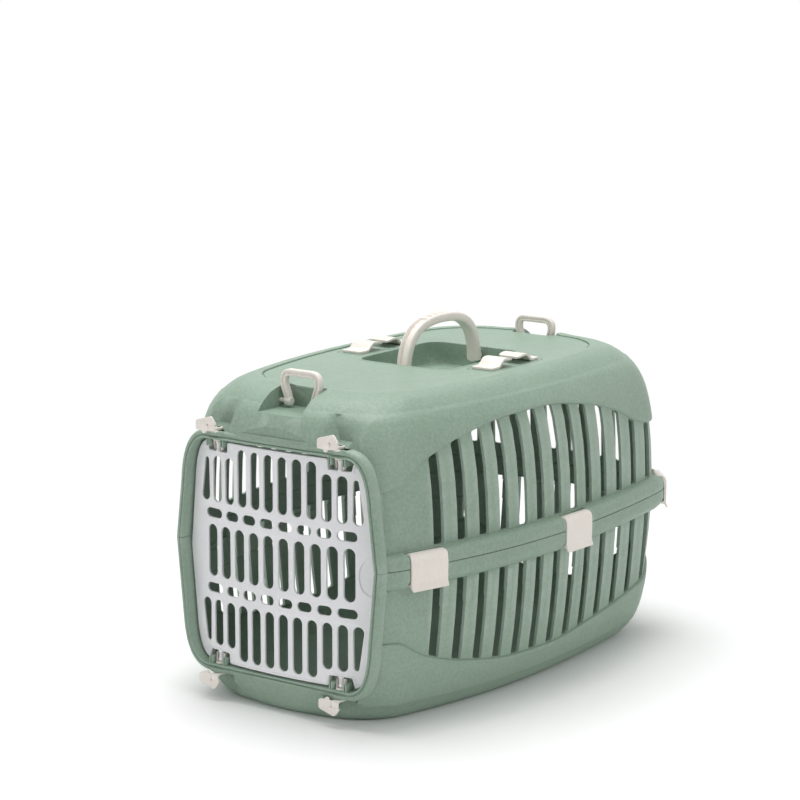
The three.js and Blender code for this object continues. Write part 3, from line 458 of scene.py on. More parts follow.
# The wall of the base, from its foot to the rim
def baseWall():
    columns = shellColumns()
    outer, inner = [], []
    footLevels = [0, 0.6, 1.6, 3, 5, 8, 12, baseLine["z"] - 0.2, baseLine["z"] + 0.2]
    tubParts = [0.05, 0.105, 0.155, 0.168, 0.26, 0.4, 0.56, 0.72, 0.86, 1]
    for column in columns:
        edge = height * baseForm["edge"](placeAlong(*columnPoint(levelOf(baseForm, 0.5, 0), column)))
        station = stationOf(levelOf(baseForm, edge / height, 0), column)
        out, ins = [], []

        def add(z, offset, innerZ, innerOffset, fixed):
            level = levelOf(baseForm, z / height, offset)
            px, py = planPoint(level, station if fixed else stationOf(level, column))
            if z < flute["baseTop"]:
                py = max(py, fluteY(px, 0))
            out.append((px, max(py, carrier["frontFace"]), z))
            level = levelOf(baseForm, innerZ / height, innerOffset)
            px, py = planPoint(level, station if fixed else stationOf(level, column))
            if z < flute["baseTop"]:
                py = max(py, fluteY(px, carrier["wall"]))
            ins.append((px, py, innerZ))

        levels = footLevels + [mix(footLevels[-1], edge - 3.2, part) for part in tubParts]
        for z in levels:
            proud = carrier["proud"] - (baseLine["step"] if z < baseLine["z"] else 0)
            add(z, -proud, mix(carrier["wall"], edge - 3.2, z / (edge - 3.2)), innerRoll[0], True)
        for (offset, rise), innerOffset in zip(edgeRoll, innerRoll):
            add(edge + rise, offset, edge + rise, innerOffset, True)
        foot = edge + 0.7
        add(foot + footRise(column), 0, foot + footRise(column), 3, False)
        for part in (0.4, 0.75):
            z = mix(foot + 3, insideSteps["low"], part)
            add(z, 0, z, 3, False)
        step = insideSteps["depth"]
        for z, depth in ((insideSteps["low"], 3), (insideSteps["high"], 3 + step)):
            for rise, more in ((-0.8, 0), (-0.45, -0.7), (0.15, -0.7), (0.5, step)):
                add(z + rise, 0, z + rise, depth + more, False)
        add(131, 0, 131, 3 + 2 * step, False)
        rimOut, rimIn = rimRows(baseRim, column, rimZ)
        outer.append(out + rimOut)
        inner.append(ins + rimIn)
    total = 2 * len(columns) - 2
    firstRow = len(footLevels) + len(tubParts) + len(edgeRoll)
    present = slotCells(columns, total, firstRow, firstRow + 11)
    return wallGrid(mirrored(outer), mirrored(inner), present, True, False)


well = {"y": 12, "halfX": 54, "halfY": 66, "corner": 16, "depth": 24, "wall": 4}
panel = {"margin": 4, "recess": 1.2, "groove": 1}


# Where a ray from the middle of the well meets its rounded outline
def wellPoint(direction, grow):
    halfX, halfY, corner = well["halfX"] + grow, well["halfY"] + grow, well["corner"] + grow
    dx, dy = abs(direction[0]), abs(direction[1])
    reach = min(halfX / dx if dx > 1e-9 else 1e9, halfY / dy if dy > 1e-9 else 1e9)
    x, y = dx * reach, dy * reach
    cx, cy = halfX - corner, halfY - corner
    if x > cx and y > cy:
        along = dx * cx + dy * cy
        size = dx * dx + dy * dy
        reach = (along + math.sqrt(max(0, along * along - size * (cx * cx + cy * cy - corner * corner)))) / size
        x, y = dx * reach, dy * reach
    return math.copysign(x, direction[0]), well["y"] + math.copysign(y, direction[1])


# The wall of the lid, from its bead over the top and down into the well, and its outer grid
def lidWall():
    columns = shellColumns()
    outer, inner = [], []
    capParts = [0.06, 0.16, 0.3, 0.42, 0.54, 0.66, 0.78, 0.89, 1]
    capLevels = [lidLine["z"] + 0.2, 288, 290, 291.8, 293.4, 294.8, 296.1, 297.2, 298.2, 299, 299.6, 300, topZ]
    ceiling = 1 - carrier["wall"] / height
    for column in columns:
        share = lidForm["edge"](placeAlong(*columnPoint(levelOf(lidForm, 0.5, 0), column)))
        edge = lidZ + height * share
        station = stationOf(levelOf(lidForm, share, 0), column)
        out, ins = rimRows(lidBead, column, lidZ)

        def add(z, offset, innerOffset, fixed, innerZ=None):
            innerZ = z if innerZ is None else innerZ
            level = levelOf(lidForm, (z - lidZ) / height, offset)
            px, py = planPoint(level, station if fixed else stationOf(level, column))
            out.append((px, max(fluted(px, py, z, 0), carrier["frontFace"]), z))
            level = levelOf(lidForm, (innerZ - lidZ) / height, innerOffset)
            px, py = planPoint(level, station if fixed else stationOf(level, column))
            ins.append((px, fluted(px, py, z, carrier["wall"]), innerZ))

        add(164.5, 0, 3, False)
        head = edge - 0.7
        foot = 165.3
        add(foot + footRise(column), 0, 3, False)
        for part in (0.12, 0.36, 0.64, 0.88):
            add(mix(foot, head, part), 0, 3, False)
        add(head - footRise(column), 0, 3, False)
        for (offset, rise), innerOffset in zip(edgeRoll[::-1], innerRoll[::-1]):
            add(edge - rise, offset, innerOffset, True)
        start = edge - edgeRoll[0][1]
        for z in [mix(start, lidLine["z"] - 0.2, part) for part in capParts] + capLevels:
            proud = carrier["proud"] - (lidLine["step"] if z > lidLine["z"] else 0)
            roll = min(1, (z - start) / (topZ - start) * 3)
            add(z, -proud, mix(innerRoll[0], 3, roll), True, lidZ + (z - lidZ) * ceiling)
        # The top, from its rim in to the handle well
        margin, plateZ = panel["margin"], topZ - panel["recess"]
        grooveZ, underZ = plateZ - panel["groove"], plateZ - carrier["wall"]
        for offset, z in ((1.5, topZ), (margin - 0.8, topZ), (margin - 0.2, topZ - 0.5), (margin, grooveZ),
                          (margin + 1, grooveZ), (margin + 1.4, plateZ), (margin + 4, plateZ)):
            out.append((*planPoint(levelOf(lidForm, 1, offset), station), z))
            ins.append((*planPoint(levelOf(lidForm, ceiling, offset + 6), station), underZ))
        endX, endY = out[-1][0], out[-1][1]
        ray = Vector((endX, endY - well["y"])).normalized()
        inX, inY = ins[-1][0], ins[-1][1]
        for part in (0.25, 0.5, 0.75):
            wx, wy = wellPoint(ray, 3)
            out.append((mix(endX, wx, part), mix(endY, wy, part), plateZ))
            wx, wy = wellPoint(ray, well["wall"] + 4)
            ins.append((mix(inX, wx, part), mix(inY, wy, part), underZ))
        low = topZ - well["depth"]
        for grow, z, innerGrow, innerZ in (
                (3, plateZ, well["wall"] + 2, underZ), (2.4, plateZ + 0.6, well["wall"] + 1, underZ),
                (0.6, plateZ + 0.6, well["wall"], underZ), (0, plateZ, well["wall"], underZ - 1.5),
                (0, low + 10, well["wall"], low + 6), (0, low + 4, well["wall"], low - 1),
                (-1.2, low + 1.2, well["wall"] - 1, low - 3.4), (-4, low, well["wall"] - 4, low - well["wall"])):
            out.append((*wellPoint(ray, grow), z))
            ins.append((*wellPoint(ray, innerGrow), innerZ))
        outer.append(out)
        inner.append(ins)
    total = 2 * len(columns) - 2
    firstRow = len(lidBead) + 1
    present = slotCells(columns, total, firstRow, firstRow + 5)
    outer = mirrored(outer)
    return wallGrid(outer, mirrored(inner), present, False, True), outer


# Applies what a thing's modifiers make of it
def settle(thing):
    bpy.context.view_layer.update()
    shown = thing.evaluated_get(bpy.context.evaluated_depsgraph_get())
    mesh = bpy.data.meshes.new_from_object(shown)
    old = thing.data
    thing.modifiers.clear()
    thing.data = mesh
    if isinstance(old, bpy.types.Mesh):
        bpy.data.meshes.remove(old)
    return thing


# Smooth shading up to a turn of so many degrees between two faces
def smoothen(thing, sharpAngle=40):
    thing.data.shade_smooth()
    thing.data.set_sharp_from_angle(angle=math.radians(sharpAngle))
    return thing


bevelFrom = 28  # the least turn in degrees between two faces that gets a bevel


def bevelled(thing, width, segments=2):
    edge = thing.modifiers.new("edges", "BEVEL")
    edge.width = width * millimetre
    edge.segments = segments
    edge.limit_method = "ANGLE"
    edge.angle_limit = math.radians(bevelFrom)
    return smoothen(settle(thing))


# Faces of a closed form turned outwards
def faceOutwards(form):
    bmesh.ops.recalc_face_normals(form, faces=form.faces)
    if form.calc_volume(signed=True) < 0:
        bmesh.ops.reverse_faces(form, faces=form.faces)


def linked(name, data):
    thing = bpy.data.objects.new(name, data)
    bpy.context.scene.collection.objects.link(thing)
    return thing


# An object from a part in millimetres. A third list gives each face its material's number.
def makeObject(name, part, bevel=0.0, segments=2):
    points, faces, *kinds = part
    mesh = bpy.data.meshes.new(name)
    mesh.from_pydata([[value * millimetre for value in point] for point in points], [], faces)
    for face, kind in zip(mesh.polygons, kinds[0] if kinds else []):
        face.material_index = kind
    form = bmesh.new()
    form.from_mesh(mesh)
    faceOutwards(form)
    form.to_mesh(mesh)
    form.free()
    thing = linked(name, mesh)
    return bevelled(thing, bevel, segments) if bevel else smoothen(thing)


def cutWith(thing, cutter, operation="DIFFERENCE"):
    change = thing.modifiers.new("cut", "BOOLEAN")
    change.operation = operation
    change.solver = "MANIFOLD"
    change.object = cutter
    settle(thing)
    bpy.data.objects.remove(cutter)
    return smoothen(thing)


def joinObjects(name, things):
    form = bmesh.new()
    for thing in things:
        form.from_mesh(thing.data)
        bpy.data.objects.remove(thing)
    mesh = bpy.data.meshes.new(name)
    form.to_mesh(mesh)
    form.free()
    return smoothen(linked(name, mesh))


# An outline drawn in two axes and carried along the third
def prism(outline, low, high, axes="xz"):
    def place(a, b, depth):
        return {"xz": (a, depth, b), "xy": (a, b, depth), "yz": (depth, a, b)}[axes]

    count = len(outline)
    points = [place(a, b, low) for a, b in outline] + [place(a, b, high) for a, b in outline]
    faces = [list(range(count)), list(range(2 * count - 1, count - 1, -1))]
    for at in range(count):
        after = (at + 1) % count
        faces.append([at, at + count, after + count, after])
    return points, faces


def arc(centre, radius, start, end, steps):
    turns = [math.radians(mix(start, end, at / steps)) for at in range(steps + 1)]
    return [(centre[0] + radius * math.cos(turn), centre[1] + radius * math.sin(turn)) for turn in turns]


def bezier(points, steps):
    line = []
    for at in range(steps + 1):
        t = at / steps
        row = [Vector(p) for p in points]
        while len(row) > 1:
            row = [a.lerp(b, t) for a, b in zip(row, row[1:])]
        line.append(tuple(row[0]))
    return line


# A part turned about the upright axis and then moved
def moved(part, offset, turn=0):
    points, faces = part
    cos, sin = math.cos(math.radians(turn)), math.sin(math.radians(turn))
    across, back, up = offset
    return [(x * cos - y * sin + across, x * sin + y * cos + back, z + up) for x, y, z in points], faces


# A round bar from one point to another, with bevelled ends
def rod(start, end, radius, sides=20, dome=0.6):
    start, end = Vector(start), Vector(end)
    axis = (end - start).normalized()
    side = axis.orthogonal().normalized()
    other = axis.cross(side)
    inset = axis * dome
    rings = [(start, radius - dome), (start + inset, radius), (end - inset, radius), (end, radius - dome)]
    points = []
    for centre, size in rings:
        for at in range(sides):
            turn = 2 * math.pi * at / sides
            points.append(tuple(centre + (side * math.cos(turn) + other * math.sin(turn)) * size))
    faces = [list(range(sides))[::-1], list(range(3 * sides, 4 * sides))]
    for ring in range(3):
        for at in range(sides):
            after = (at + 1) % sides
            low = ring * sides
            faces.append([low + at, low + after, low + sides + after, low + sides + at])
    return points, faces


opening = {
    "halfRim": 113,
    "halfShoulder": 106,
    "sill": 34,
    "arch": 250,
    "flat": 81,
    "corner": 103,
    "rise": 42,
    "cut": 3.3,
    "lip": 8,
    "back": -237,
    "front": -247,
    "steps": 14,
}


openingMiddle = (opening["sill"] + opening["arch"]) / 2


# The edge of the front opening from the left end of the rim round to the right end
def openingLine(edge, up, grow):
    rimEnd = rimZ if up > 0 else lidZ
    side, corner = opening["halfShoulder"] + grow, opening["corner"] + grow
    z, shoulder = edge - up * grow, edge + up * opening["rise"]
    half = opening["halfRim"] + grow
    right = bezier([(opening["flat"], z), (corner, z), (side, shoulder)], opening["steps"])
    right = [(opening["flat"] * share, z) for share in (0, 0.35, 0.7, 0.85, 0.93)] + right
    right += [(mix(side, half, share), mix(shoulder, rimEnd, share)) for share in (0.2, 0.4, 0.6, 0.8, 1)]
    return [(-a, b) for a, b in right[:0:-1]] + right


# What the front opening takes out of a shell
def openingCutter(edge, up):
    line = openingLine(edge, up, opening["cut"])
    past = rimZ + up * 6
    line = [(line[0][0], past)] + line + [(line[-1][0], past)]
    return makeObject("opening", prism(line, frontY - 45, frontY + 58))


# The outer face of the front wall behind a point of the opening's edge
def wallBehind(form, zero, x, z):
    level = levelOf(form, (z - zero) / height, 0)
    if abs(x) <= planPoint(level, (1, 0))[0]:
        return planPoint(level, (0, abs(x) / planPoint(level, (0, 1))[0]))[1]
    return planPoint(level, (1, cornerShare(level, 1, abs(x))))[1]


# The moulded edge of the front opening: a thin bead, a groove, a rounded band that runs into
# the wall, and the collar behind it
def lipPart(form, zero, edge, up):
    face, back = opening["front"], opening["back"]
    profile = [(0, None), (0, face), (0.3, face - 0.7), (0.9, face - 1), (1.5, face - 0.8), (2, face - 0.2),
               (2.3, face + 1.3), (3.1, face + 1.4), (3.5, face + 0.3), (4.4, face + 0.2), (6, face + 0.6),
               (7.2, face + 1.7), (8, face + 3.4), (8, back), (3.6, back + 0.3), (3.6, None)]
    lines = {grow: openingLine(edge, up, grow) for grow, _ in profile}
    rings = []
    for at in range(len(lines[0])):
        x, z = lines[3.6][at]
        deep = wallBehind(form, zero, x, min(max(z, zero + 1), zero + height)) + 3.2
        deep = max(back + 0.6, min(deep, frontY + 40))
        rings.append([(lines[grow][at][0], deep if y is None else y, lines[grow][at][1]) for grow, y in profile])
    return loft(rings)


# How far a clip's place is turned on the right or the left side
def clipTurn(clip, side):
    return clip["turn"] if side > 0 else 180 - clip["turn"]


def atRim(part, clip, side, z):
    return moved(part, (side * clip["x"], clip["y"], z), clipTurn(clip, side))


# A place on the rim and which way the rim runs there: by y on a side, by x at the rear
def rimSpot(y, x=None):
    level = rimLevel(0)
    if x is None:
        point = planPoint(level, sideStation(level, y))
        near = planPoint(level, sideStation(level, y - 1))
    else:
        point = planPoint(level, rearStation(level, x))
        near = planPoint(level, rearStation(level, x + 1))
    direction = Vector((point[0] - near[0], point[1] - near[1])).normalized()
    return {"x": point[0], "y": point[1], "turn": math.degrees(math.atan2(-direction.x, direction.y))}


pegs = {
    "radius": 2.3,
    "height": 7,
    "inset": 6.5,
    "tubes": [-36, 42, 169],  # hollow pegs along each side
    "tabs": [-159],  # flat tabs with a round top
    "tabHalf": 1.9,
    "bore": 1.3,
    "front": -222,
    "rear": 63,
    "rib": 19,
}
rods = {"radius": 2.2, "inset": 4.5, "baseDrop": 12, "lidRise": 9, "reach": 2.5}
boss = {"halfX": 12.5, "halfY": 6.6, "y": -240.4, "rise": 1.6, "skirt": 1.6, "proud": 2.6}
brow = {"half": 38, "rise": 9, "depth": 1.4, "gap": 10}
bracket = {"inner": 6.1, "outer": 10, "wall": 1.3, "height": 7, "front": -246.8, "back": -236}
seats = {"near": 62.5, "far": 93.5, "front": -34, "rear": 58, "corner": 5, "groove": 0.9, "depth": 0.6}
plateau = {"halfX": 33, "halfY": 46, "corner": 12, "rise": 2.2}
loopPocket = {"half": 25, "frontInside": -196, "rearInside": 173, "depth": 20, "corner": 6}


# Every clip by its name, its side and its entry
def clipPlaces():
    for name in ("front", "middle", "corner"):
        for side in (1, -1):
            yield name, side, clips[name]
    yield "rear", 1, clips["rear"]


# The rods that the clips turn on, or hook under
def shellFittings(z, rodZ):
    parts = []
    for _, side, clip in clipPlaces():
        half = clip["width"] / 2 + rods["reach"]
        bar = rod((-rods["inset"], -half, rodZ), (-rods["inset"], half, rodZ), rods["radius"])
        parts.append(atRim(bar, clip, side, z))
    return parts


# The two open boxes that the jaw of a latch turns between, and the oval boss of its stem
def bracketParts(edge, up):
    parts = []
    inner, outer, wall, front, back = (bracket[key] for key in ("inner", "outer", "wall", "front", "back"))
    low, high = sorted((edge - up * 1, edge + up * bracket["height"]))
    for x in (-flute["x"], flute["x"]):
        for side in (-1, 1):
            plan = [(inner, front), (inner + wall, front), (inner + wall, back - wall), (outer - wall, back - wall),
                    (outer - wall, front), (outer, front), (outer, back), (inner, back)]
            plan = [(x + side * a, b) for a, b in plan]
            parts.append(prism(plan, low, high, "xy"))
        for reach, grow in ((boss["rise"], 0), (boss["rise"] - 0.7, boss["skirt"])):
            wide, deep = boss["halfX"] + grow, boss["halfY"] + grow
            oval = [(x + wide * u, boss["y"] + deep * v) for u, v in circle(1, 40)]
            low2, high2 = sorted((edge - up * 3.8, edge - up * (opening["lip"] - 1.6 + reach)))
            parts.append(prism(oval, low2, high2, "xy"))
    return parts


# A profile of radius and height turned about an upright line
def turned(profile, sides=24):
    return loft([[(size * a, size * b, z) for a, b in circle(1, sides)] for size, z in profile])


def circle(radius, sides, centre=(0, 0)):
    turns = [math.tau * at / sides for at in range(sides)]
    return [(centre[0] + radius * math.cos(turn), centre[1] + radius * math.sin(turn)) for turn in turns]


# A hollow peg, with its bore closed below
def tube(radius, bore, low, high):
    return turned([(radius, low), (radius, high - 0.4), (radius - 0.4, high), (bore + 0.3, high),
                   (bore, high - 0.4), (bore, high - 4), (0.05, high - 4)])


# A pin that ends in a smaller dome
def pin(radius, low, high):
    return turned([(radius, low), (radius, high - 3), (radius * 0.8, high - 2.6), (radius * 0.72, high - 0.9),
                   (radius * 0.5, high - 0.25), (0.1, high)])


# The pegs on the rim of the base, and the ribs below them
def pegParts():
    parts = []
    inset, radius, tall = pegs["inset"], pegs["radius"], pegs["height"]
    for side in (1, -1):
        for y in pegs["tubes"]:
            spot = rimSpot(y)
            parts.append(atRim(moved(tube(radius + 0.3, pegs["bore"], -2, tall), (-inset, 0, 0)), spot, side, rimZ))
        for y in pegs["tabs"]:
            half = pegs["tabHalf"]
            outline = [(-half, -2), (half, -2), (half, tall - half)]
            outline += arc((0, tall - half), half, 15, 165, 8) + [(-half, tall - half)]
            parts.append(atRim(prism(outline, -inset - 2, -inset + 2, "yz"), rimSpot(y), side, rimZ))
        spot = rimSpot(pegs["front"])
        parts.append(atRim(moved(pin(radius, -2, tall), (-inset, 0, 0)), spot, side, rimZ))
        spot = rimSpot(0, pegs["rear"])
        parts.append(atRim(moved(tube(radius + 0.3, pegs["bore"], -2, tall), (-inset, 0, 0)), spot, side, rimZ))
        # Half-round ribs below the pegs, on the inner face of the rim
        for spot in [rimSpot(y) for y in pegs["tubes"] + pegs["tabs"]] + [rimSpot(0, pegs["rear"])]:
            rib = [(-12.6, -2.6), (-13.8, -2.3), (-14.8, -1.2), (-15, 0), (-14.8, 1.2), (-13.8, 2.3), (-12.6, 2.6)]
            parts.append(atRim(prism(rib, -pegs["rib"], -0.6, "xy"), spot, side, rimZ))
    return parts


def baseShell():
    shell = makeObject("shellWall", baseWall(), bevel=0.5)
    cutWith(shell, openingCutter(opening["sill"], 1))
    lip = makeObject("shellLip", lipPart(baseForm, 0, opening["sill"], 1), bevel=0.15, segments=1)
    parts = shellFittings(rimZ, -rods["baseDrop"]) + bracketParts(opening["sill"], 1) + pegParts()
    fittings = makeObject("shellFittings", joinParts(parts), bevel=0.3)
    print("base: wall, lip and fittings")
    return joinObjects("base_moulding", [shell, lip, fittings])


# A plan with rounded corners, from one corner to the other
def roundedPlan(lowX, lowY, highX, highY, corner):
    line = []
    for cx, cy, start in ((highX - corner, lowY + corner, 270), (highX - corner, highY - corner, 0),
                          (lowX + corner, highY - corner, 90), (lowX + corner, lowY + corner, 180)):
        line += arc((cx, cy), corner, start, start + 90, 6)
    return line


# What lies between two outlines, carried upwards
def ringPrism(outer, inner, low, high):
    rings = [[(a, b, high) for a, b in outer], [(a, b, high) for a, b in inner],
             [(a, b, low) for a, b in inner], [(a, b, low) for a, b in outer]]
    return loft(rings, closed=True)


# The forms of the two pockets for the strap loops
def loopPockets(grow, top):
    half, corner = loopPocket["half"] + grow, loopPocket["corner"] + grow
    floor = topZ - loopPocket["depth"] - grow
    front = roundedPlan(-half, -330, half, loopPocket["frontInside"] + grow, corner)
    rear = roundedPlan(-half, loopPocket["rearInside"] - grow, half, 330, corner)
    return [makeObject("pocket", prism(plan, floor, top, "xy")) for plan in (front, rear)]


def lidShell():
    wallPart, outer = lidWall()
    shell = makeObject("lidWall", wallPart, bevel=0.5)
    for liner in loopPockets(carrier["wall"], topZ - 0.3):
        cutWith(liner, makeObject("lidOuter", outerSolid(outer)), "INTERSECT")
        cutWith(shell, liner, "UNION")
    for pocket in loopPockets(0, topZ + 5):
        cutWith(shell, pocket)
    cutWith(shell, openingCutter(opening["arch"], -1))
    lens = [(brow["half"] * a, opening["arch"] + brow["gap"] + brow["rise"] * (1 - a * a))
            for a in (1 - at / 12 for at in range(25))]
    cutWith(shell, makeObject("brow", prism(lens, frontY - 45, opening["front"] + brow["depth"])))
    # Grooves that frame the seats of the belt hooks
    plate = topZ - panel["recess"]
    for side in (-1, 1):
        low, high = sorted((side * seats["near"], side * seats["far"]))
        outlines = [roundedPlan(low + inset, seats["front"] + inset, high - inset, seats["rear"] - inset,
                                seats["corner"] - inset) for inset in (0, seats["groove"])]
        cutWith(shell, makeObject("seat", ringPrism(*outlines, plate - seats["depth"], plate + 3)))
    lip = makeObject("lidLip", lipPart(lidForm, lidZ, opening["arch"], -1), bevel=0.15, segments=1)
    parts = shellFittings(lidZ, rods["lidRise"]) + bracketParts(opening["arch"], -1)
    floor = topZ - well["depth"]
    halfX, halfY = plateau["halfX"], plateau["halfY"]
    plan = roundedPlan(-halfX, well["y"] - halfY, halfX, well["y"] + halfY, plateau["corner"])
    parts.append(prism(plan, floor - 1, floor + plateau["rise"], "xy"))
    fittings = makeObject("lidFittings", joinParts(parts), bevel=0.3)
    print("lid: wall, lip and fittings")
    return joinObjects("lid_moulding", [shell, lip, fittings])


door = {
    "thickness": 2.4,
    "front": 3.5,
    "bow": 13,
    "clearance": 2.2,
    "notchHalf": 12.5,
    "notchDepth": 10,
    "notchCorner": 2.2,
    "edgeDepth": 6,
    "edgeWidth": 2.2,
    "edgeProud": 0.4,
    "bar": 6.5,
    "margin": 7,
    "endSlots": {"count": 12, "pitch": 16.2, "width": 11},
    "middleSlots": {"count": 10, "pitch": 17.8, "width": 12, "height": 50},
    "ovals": {"count": 8, "pitch": 21.5, "width": 16, "endWidth": 21, "height": 9},
    "thumb": {"half": 17.5, "left": 89.5, "depth": 1},
    "pinRadius": 2.2,
    "headRadius": 2.9,
    "round": 0.35,
}
pinX = flute["x"]


# The bow of the door
def doorY(x):
    return frontY - door["front"] + door["bow"] * x * x / (opening["halfRim"] ** 2)


pinY = doorY(pinX)


# The outline of two round ends and what lies between them
def capsule(x1, z1, r1, x2, z2, r2):
    reach = math.hypot(x2 - x1, z2 - z1)
    along = math.degrees(math.atan2(z2 - z1, x2 - x1))
    lean = math.degrees(math.acos((r1 - r2) / reach))
    return arc((x2, z2), r2, along - lean, along + lean, 9) + arc((x1, z1), r1, along + lean, along + 360 - lean, 9)


# The door's outline, drawn in from the edge of the opening, with a notch at each latch
def doorLine(inset):
    side, corner = opening["halfShoulder"] - inset, opening["corner"] - inset
    rim, middle = opening["halfRim"] - inset, openingMiddle
    high = opening["arch"] - inset
    notch = door["notchHalf"] + inset - door["clearance"]
    depth = high - door["notchDepth"]
    r = door["notchCorner"]
    quarter = [(0, high), (pinX - notch - r, high)]
    quarter += arc((pinX - notch - r, high - r), r, 90, 0, 5)[1:]
    quarter += arc((pinX - notch + r, depth + r), r, 180, 270, 5)
    quarter += arc((pinX + notch - r, depth + r), r, 270, 360, 5)
    end = opening["flat"] + 4.5
    if pinX + notch + r < end:
        quarter += arc((pinX + notch + r, high - r), r, 180, 90, 5)
    curve = bezier([(opening["flat"], high), (corner, high), (side, opening["arch"] - opening["rise"])], 16)
    quarter += [point for point in curve if point[0] > max(end, pinX + notch + 0.6)]
    quarter += [(mix(side, rim, part), mix(opening["arch"] - opening["rise"], middle, part)) for part in
                (0.25, 0.5, 0.75, 0.9)]
    right = quarter + [(rim, middle)] + [(x, 2 * middle - z) for x, z in quarter[::-1]]
    return right[:-1] + [(-x, z) for x, z in right[::-1][:-1]]


# Height of the door's solid edge at a place across it
def doorEdge(x):
    pitch = door["endSlots"]["pitch"]
    past = max(0, abs(x) - opening["flat"] + pitch / 2) / (opening["corner"] - opening["flat"])
    notched = abs(abs(x) - pinX) < door["notchHalf"] + door["endSlots"]["width"] / 2
    drop = max(door["notchDepth"] if notched else 0, opening["rise"] * 0.55 * past ** 2)
    return door["margin"] + drop


# Two rows of long slots, a row of middle slots, and rows of ovals between them
def doorHoles():
    holes = []
    middle = openingMiddle
    slotsAcross, oval, long = door["middleSlots"], door["ovals"], door["endSlots"]
    half, r = slotsAcross["height"] / 2, slotsAcross["width"] / 2
    for at in range(slotsAcross["count"]):
        x = (at - (slotsAcross["count"] - 1) / 2) * slotsAcross["pitch"]
        holes.append(capsule(x, middle - half + r, r, x, middle + half - r, r))
    ovalMiddle = half + door["bar"] + oval["height"] / 2
    endFrom = ovalMiddle + oval["height"] / 2 + door["bar"]
    for side in (1, -1):
        for at in range(oval["count"]):
            x = (at - (oval["count"] - 1) / 2) * oval["pitch"]
            last = at in (0, oval["count"] - 1)
            reach = (oval["endWidth"] if last else oval["width"]) / 2 - oval["height"] / 2
            x += math.copysign((oval["endWidth"] - oval["width"]) / 2, x) if last else 0
            z = middle + side * ovalMiddle
            holes.append(capsule(x - reach, z, oval["height"] / 2, x + reach, z, oval["height"] / 2))
        for at in range(long["count"]):
            x = (at - (long["count"] - 1) / 2) * long["pitch"]
            edge = opening["arch"] - middle - doorEdge(x)
            r = long["width"] / 2
            tip = 2.8 if at in (0, long["count"] - 1) else r
            near = middle + side * (endFrom + r)
            far = middle + side * (edge - tip)
            holes.append(capsule(x, near, r, x - math.copysign(r - tip, x) * 0.8, far, tip))
    return holes


# A flat plate from closed lines, with rounded edges, bent to the bow of the door
def bowedPlate(name, lines, fromY, toY, edgeRound):
    data = bpy.data.curves.new(name, "CURVE")
    data.dimensions = "2D"
    data.fill_mode = "BOTH"
    data.extrude = ((toY - fromY) / 2 - edgeRound) * millimetre
    data.bevel_depth = edgeRound * millimetre
    data.bevel_resolution = 2
    data.offset = -edgeRound * millimetre
    for line in lines:
        spline = data.splines.new("POLY")
        spline.points.add(len(line) - 1)
        for point, (x, z) in zip(spline.points, line):
            point.co = (x * millimetre, z * millimetre, 0, 1)
        spline.use_cyclic_u = True
    drawn = linked(name, data)
    bpy.context.view_layer.update()
    mesh = bpy.data.meshes.new_from_object(drawn.evaluated_get(bpy.context.evaluated_depsgraph_get()))
    bpy.data.objects.remove(drawn)
    form = bmesh.new()
    form.from_mesh(mesh)
    bmesh.ops.remove_doubles(form, verts=form.verts, dist=1e-6)
    for at in range(-20, 21):  # cuts across the plate, so that it can bend
        bmesh.ops.bisect_plane(form, geom=form.verts[:] + form.edges[:] + form.faces[:], dist=1e-7,
                               plane_co=((at + 0.37) * 5.5 * millimetre, 0, 0), plane_no=(1, 0, 0))
    middleY = (fromY + toY) / 2 * millimetre
    for vert in form.verts:
        x, up, depth = vert.co
        vert.co = (x, doorY(x / millimetre) * millimetre + middleY - depth, up)
    faceOutwards(form)
    form.to_mesh(mesh)
    form.free()
    return smoothen(linked(name, mesh), 35)


def grilleDoor():
    half = door["thickness"] / 2
    thumb, middle = door["thumb"], openingMiddle
    inner, outer = thumb["left"] + 12, 116
    plate = bowedPlate("plate", [doorLine(door["clearance"] + 0.5)] + doorHoles(), -half, half, door["round"])
    edgeLines = [doorLine(door["clearance"]), doorLine(door["clearance"] + door["edgeWidth"])]
    edge = bowedPlate("edge", edgeLines, -half - door["edgeProud"], door["edgeDepth"] - half, door["round"])
    scoop = [(inner, middle - thumb["half"]), (outer, middle - thumb["half"]), (outer, middle + thumb["half"]),
             (inner, middle + thumb["half"])]
    scoop += [(inner - 12 * math.cos(turn), middle + thumb["half"] * math.sin(turn))
              for turn in (math.radians(90 - 180 * at / 16) for at in range(1, 16))]
    for thing in (plate, edge):
        cutWith(thing, bowedPlate("scoop", [scoop], -6, -half + thumb["depth"], 0.02))
    parts = []
    for x in (pinX, -pinX):
        for edgeZ, up in ((opening["arch"], 1), (opening["sill"], -1)):
            reach = door["notchDepth"] + door["clearance"] + 1
            r, head = door["pinRadius"], door["headRadius"]
            profile = [(0.1, 2.1), (head - 0.9, 2.15), (head - 0.2, 2.7), (head, 3.4), (head, 4.2),
                       (head - 0.3, 4.6), (r, 5), (r, reach - 3), (r + 0.5, reach - 2.2), (head, reach - 1.7),
                       (head, reach)]
            parts.append(moved(turned([(size, -up * z) for size, z in profile], 28), (x, pinY, edgeZ)))
    pins = makeObject("doorPins", joinParts(parts))
    print("door: grille, turned edge and pins")
    return joinObjects("grille_door", [plate, edge, pins])


latchForm = {
    "jawInner": 3.9,
    "jawWall": 1.5,
    "jawHeight": 10.6,
    "backDrop": 2.6,
    "open": 58,
    "cap": 1.2,
    "clearance": 0.3,
    "stem": 2.2,
    "long": 17,
    "short": 6.1,
    "height": 14,
    "thickness": 2.4,
    "forward": 11.5,
    "armHeight": 2.4,
    "hub": 4,
    "hole": 0.8,
    "round": 0.35,
}


# The front and rear face of the lever plate
def latchFaces():
    middle, half = latchForm["forward"], latchForm["thickness"] / 2
    return -middle - half, -middle + half


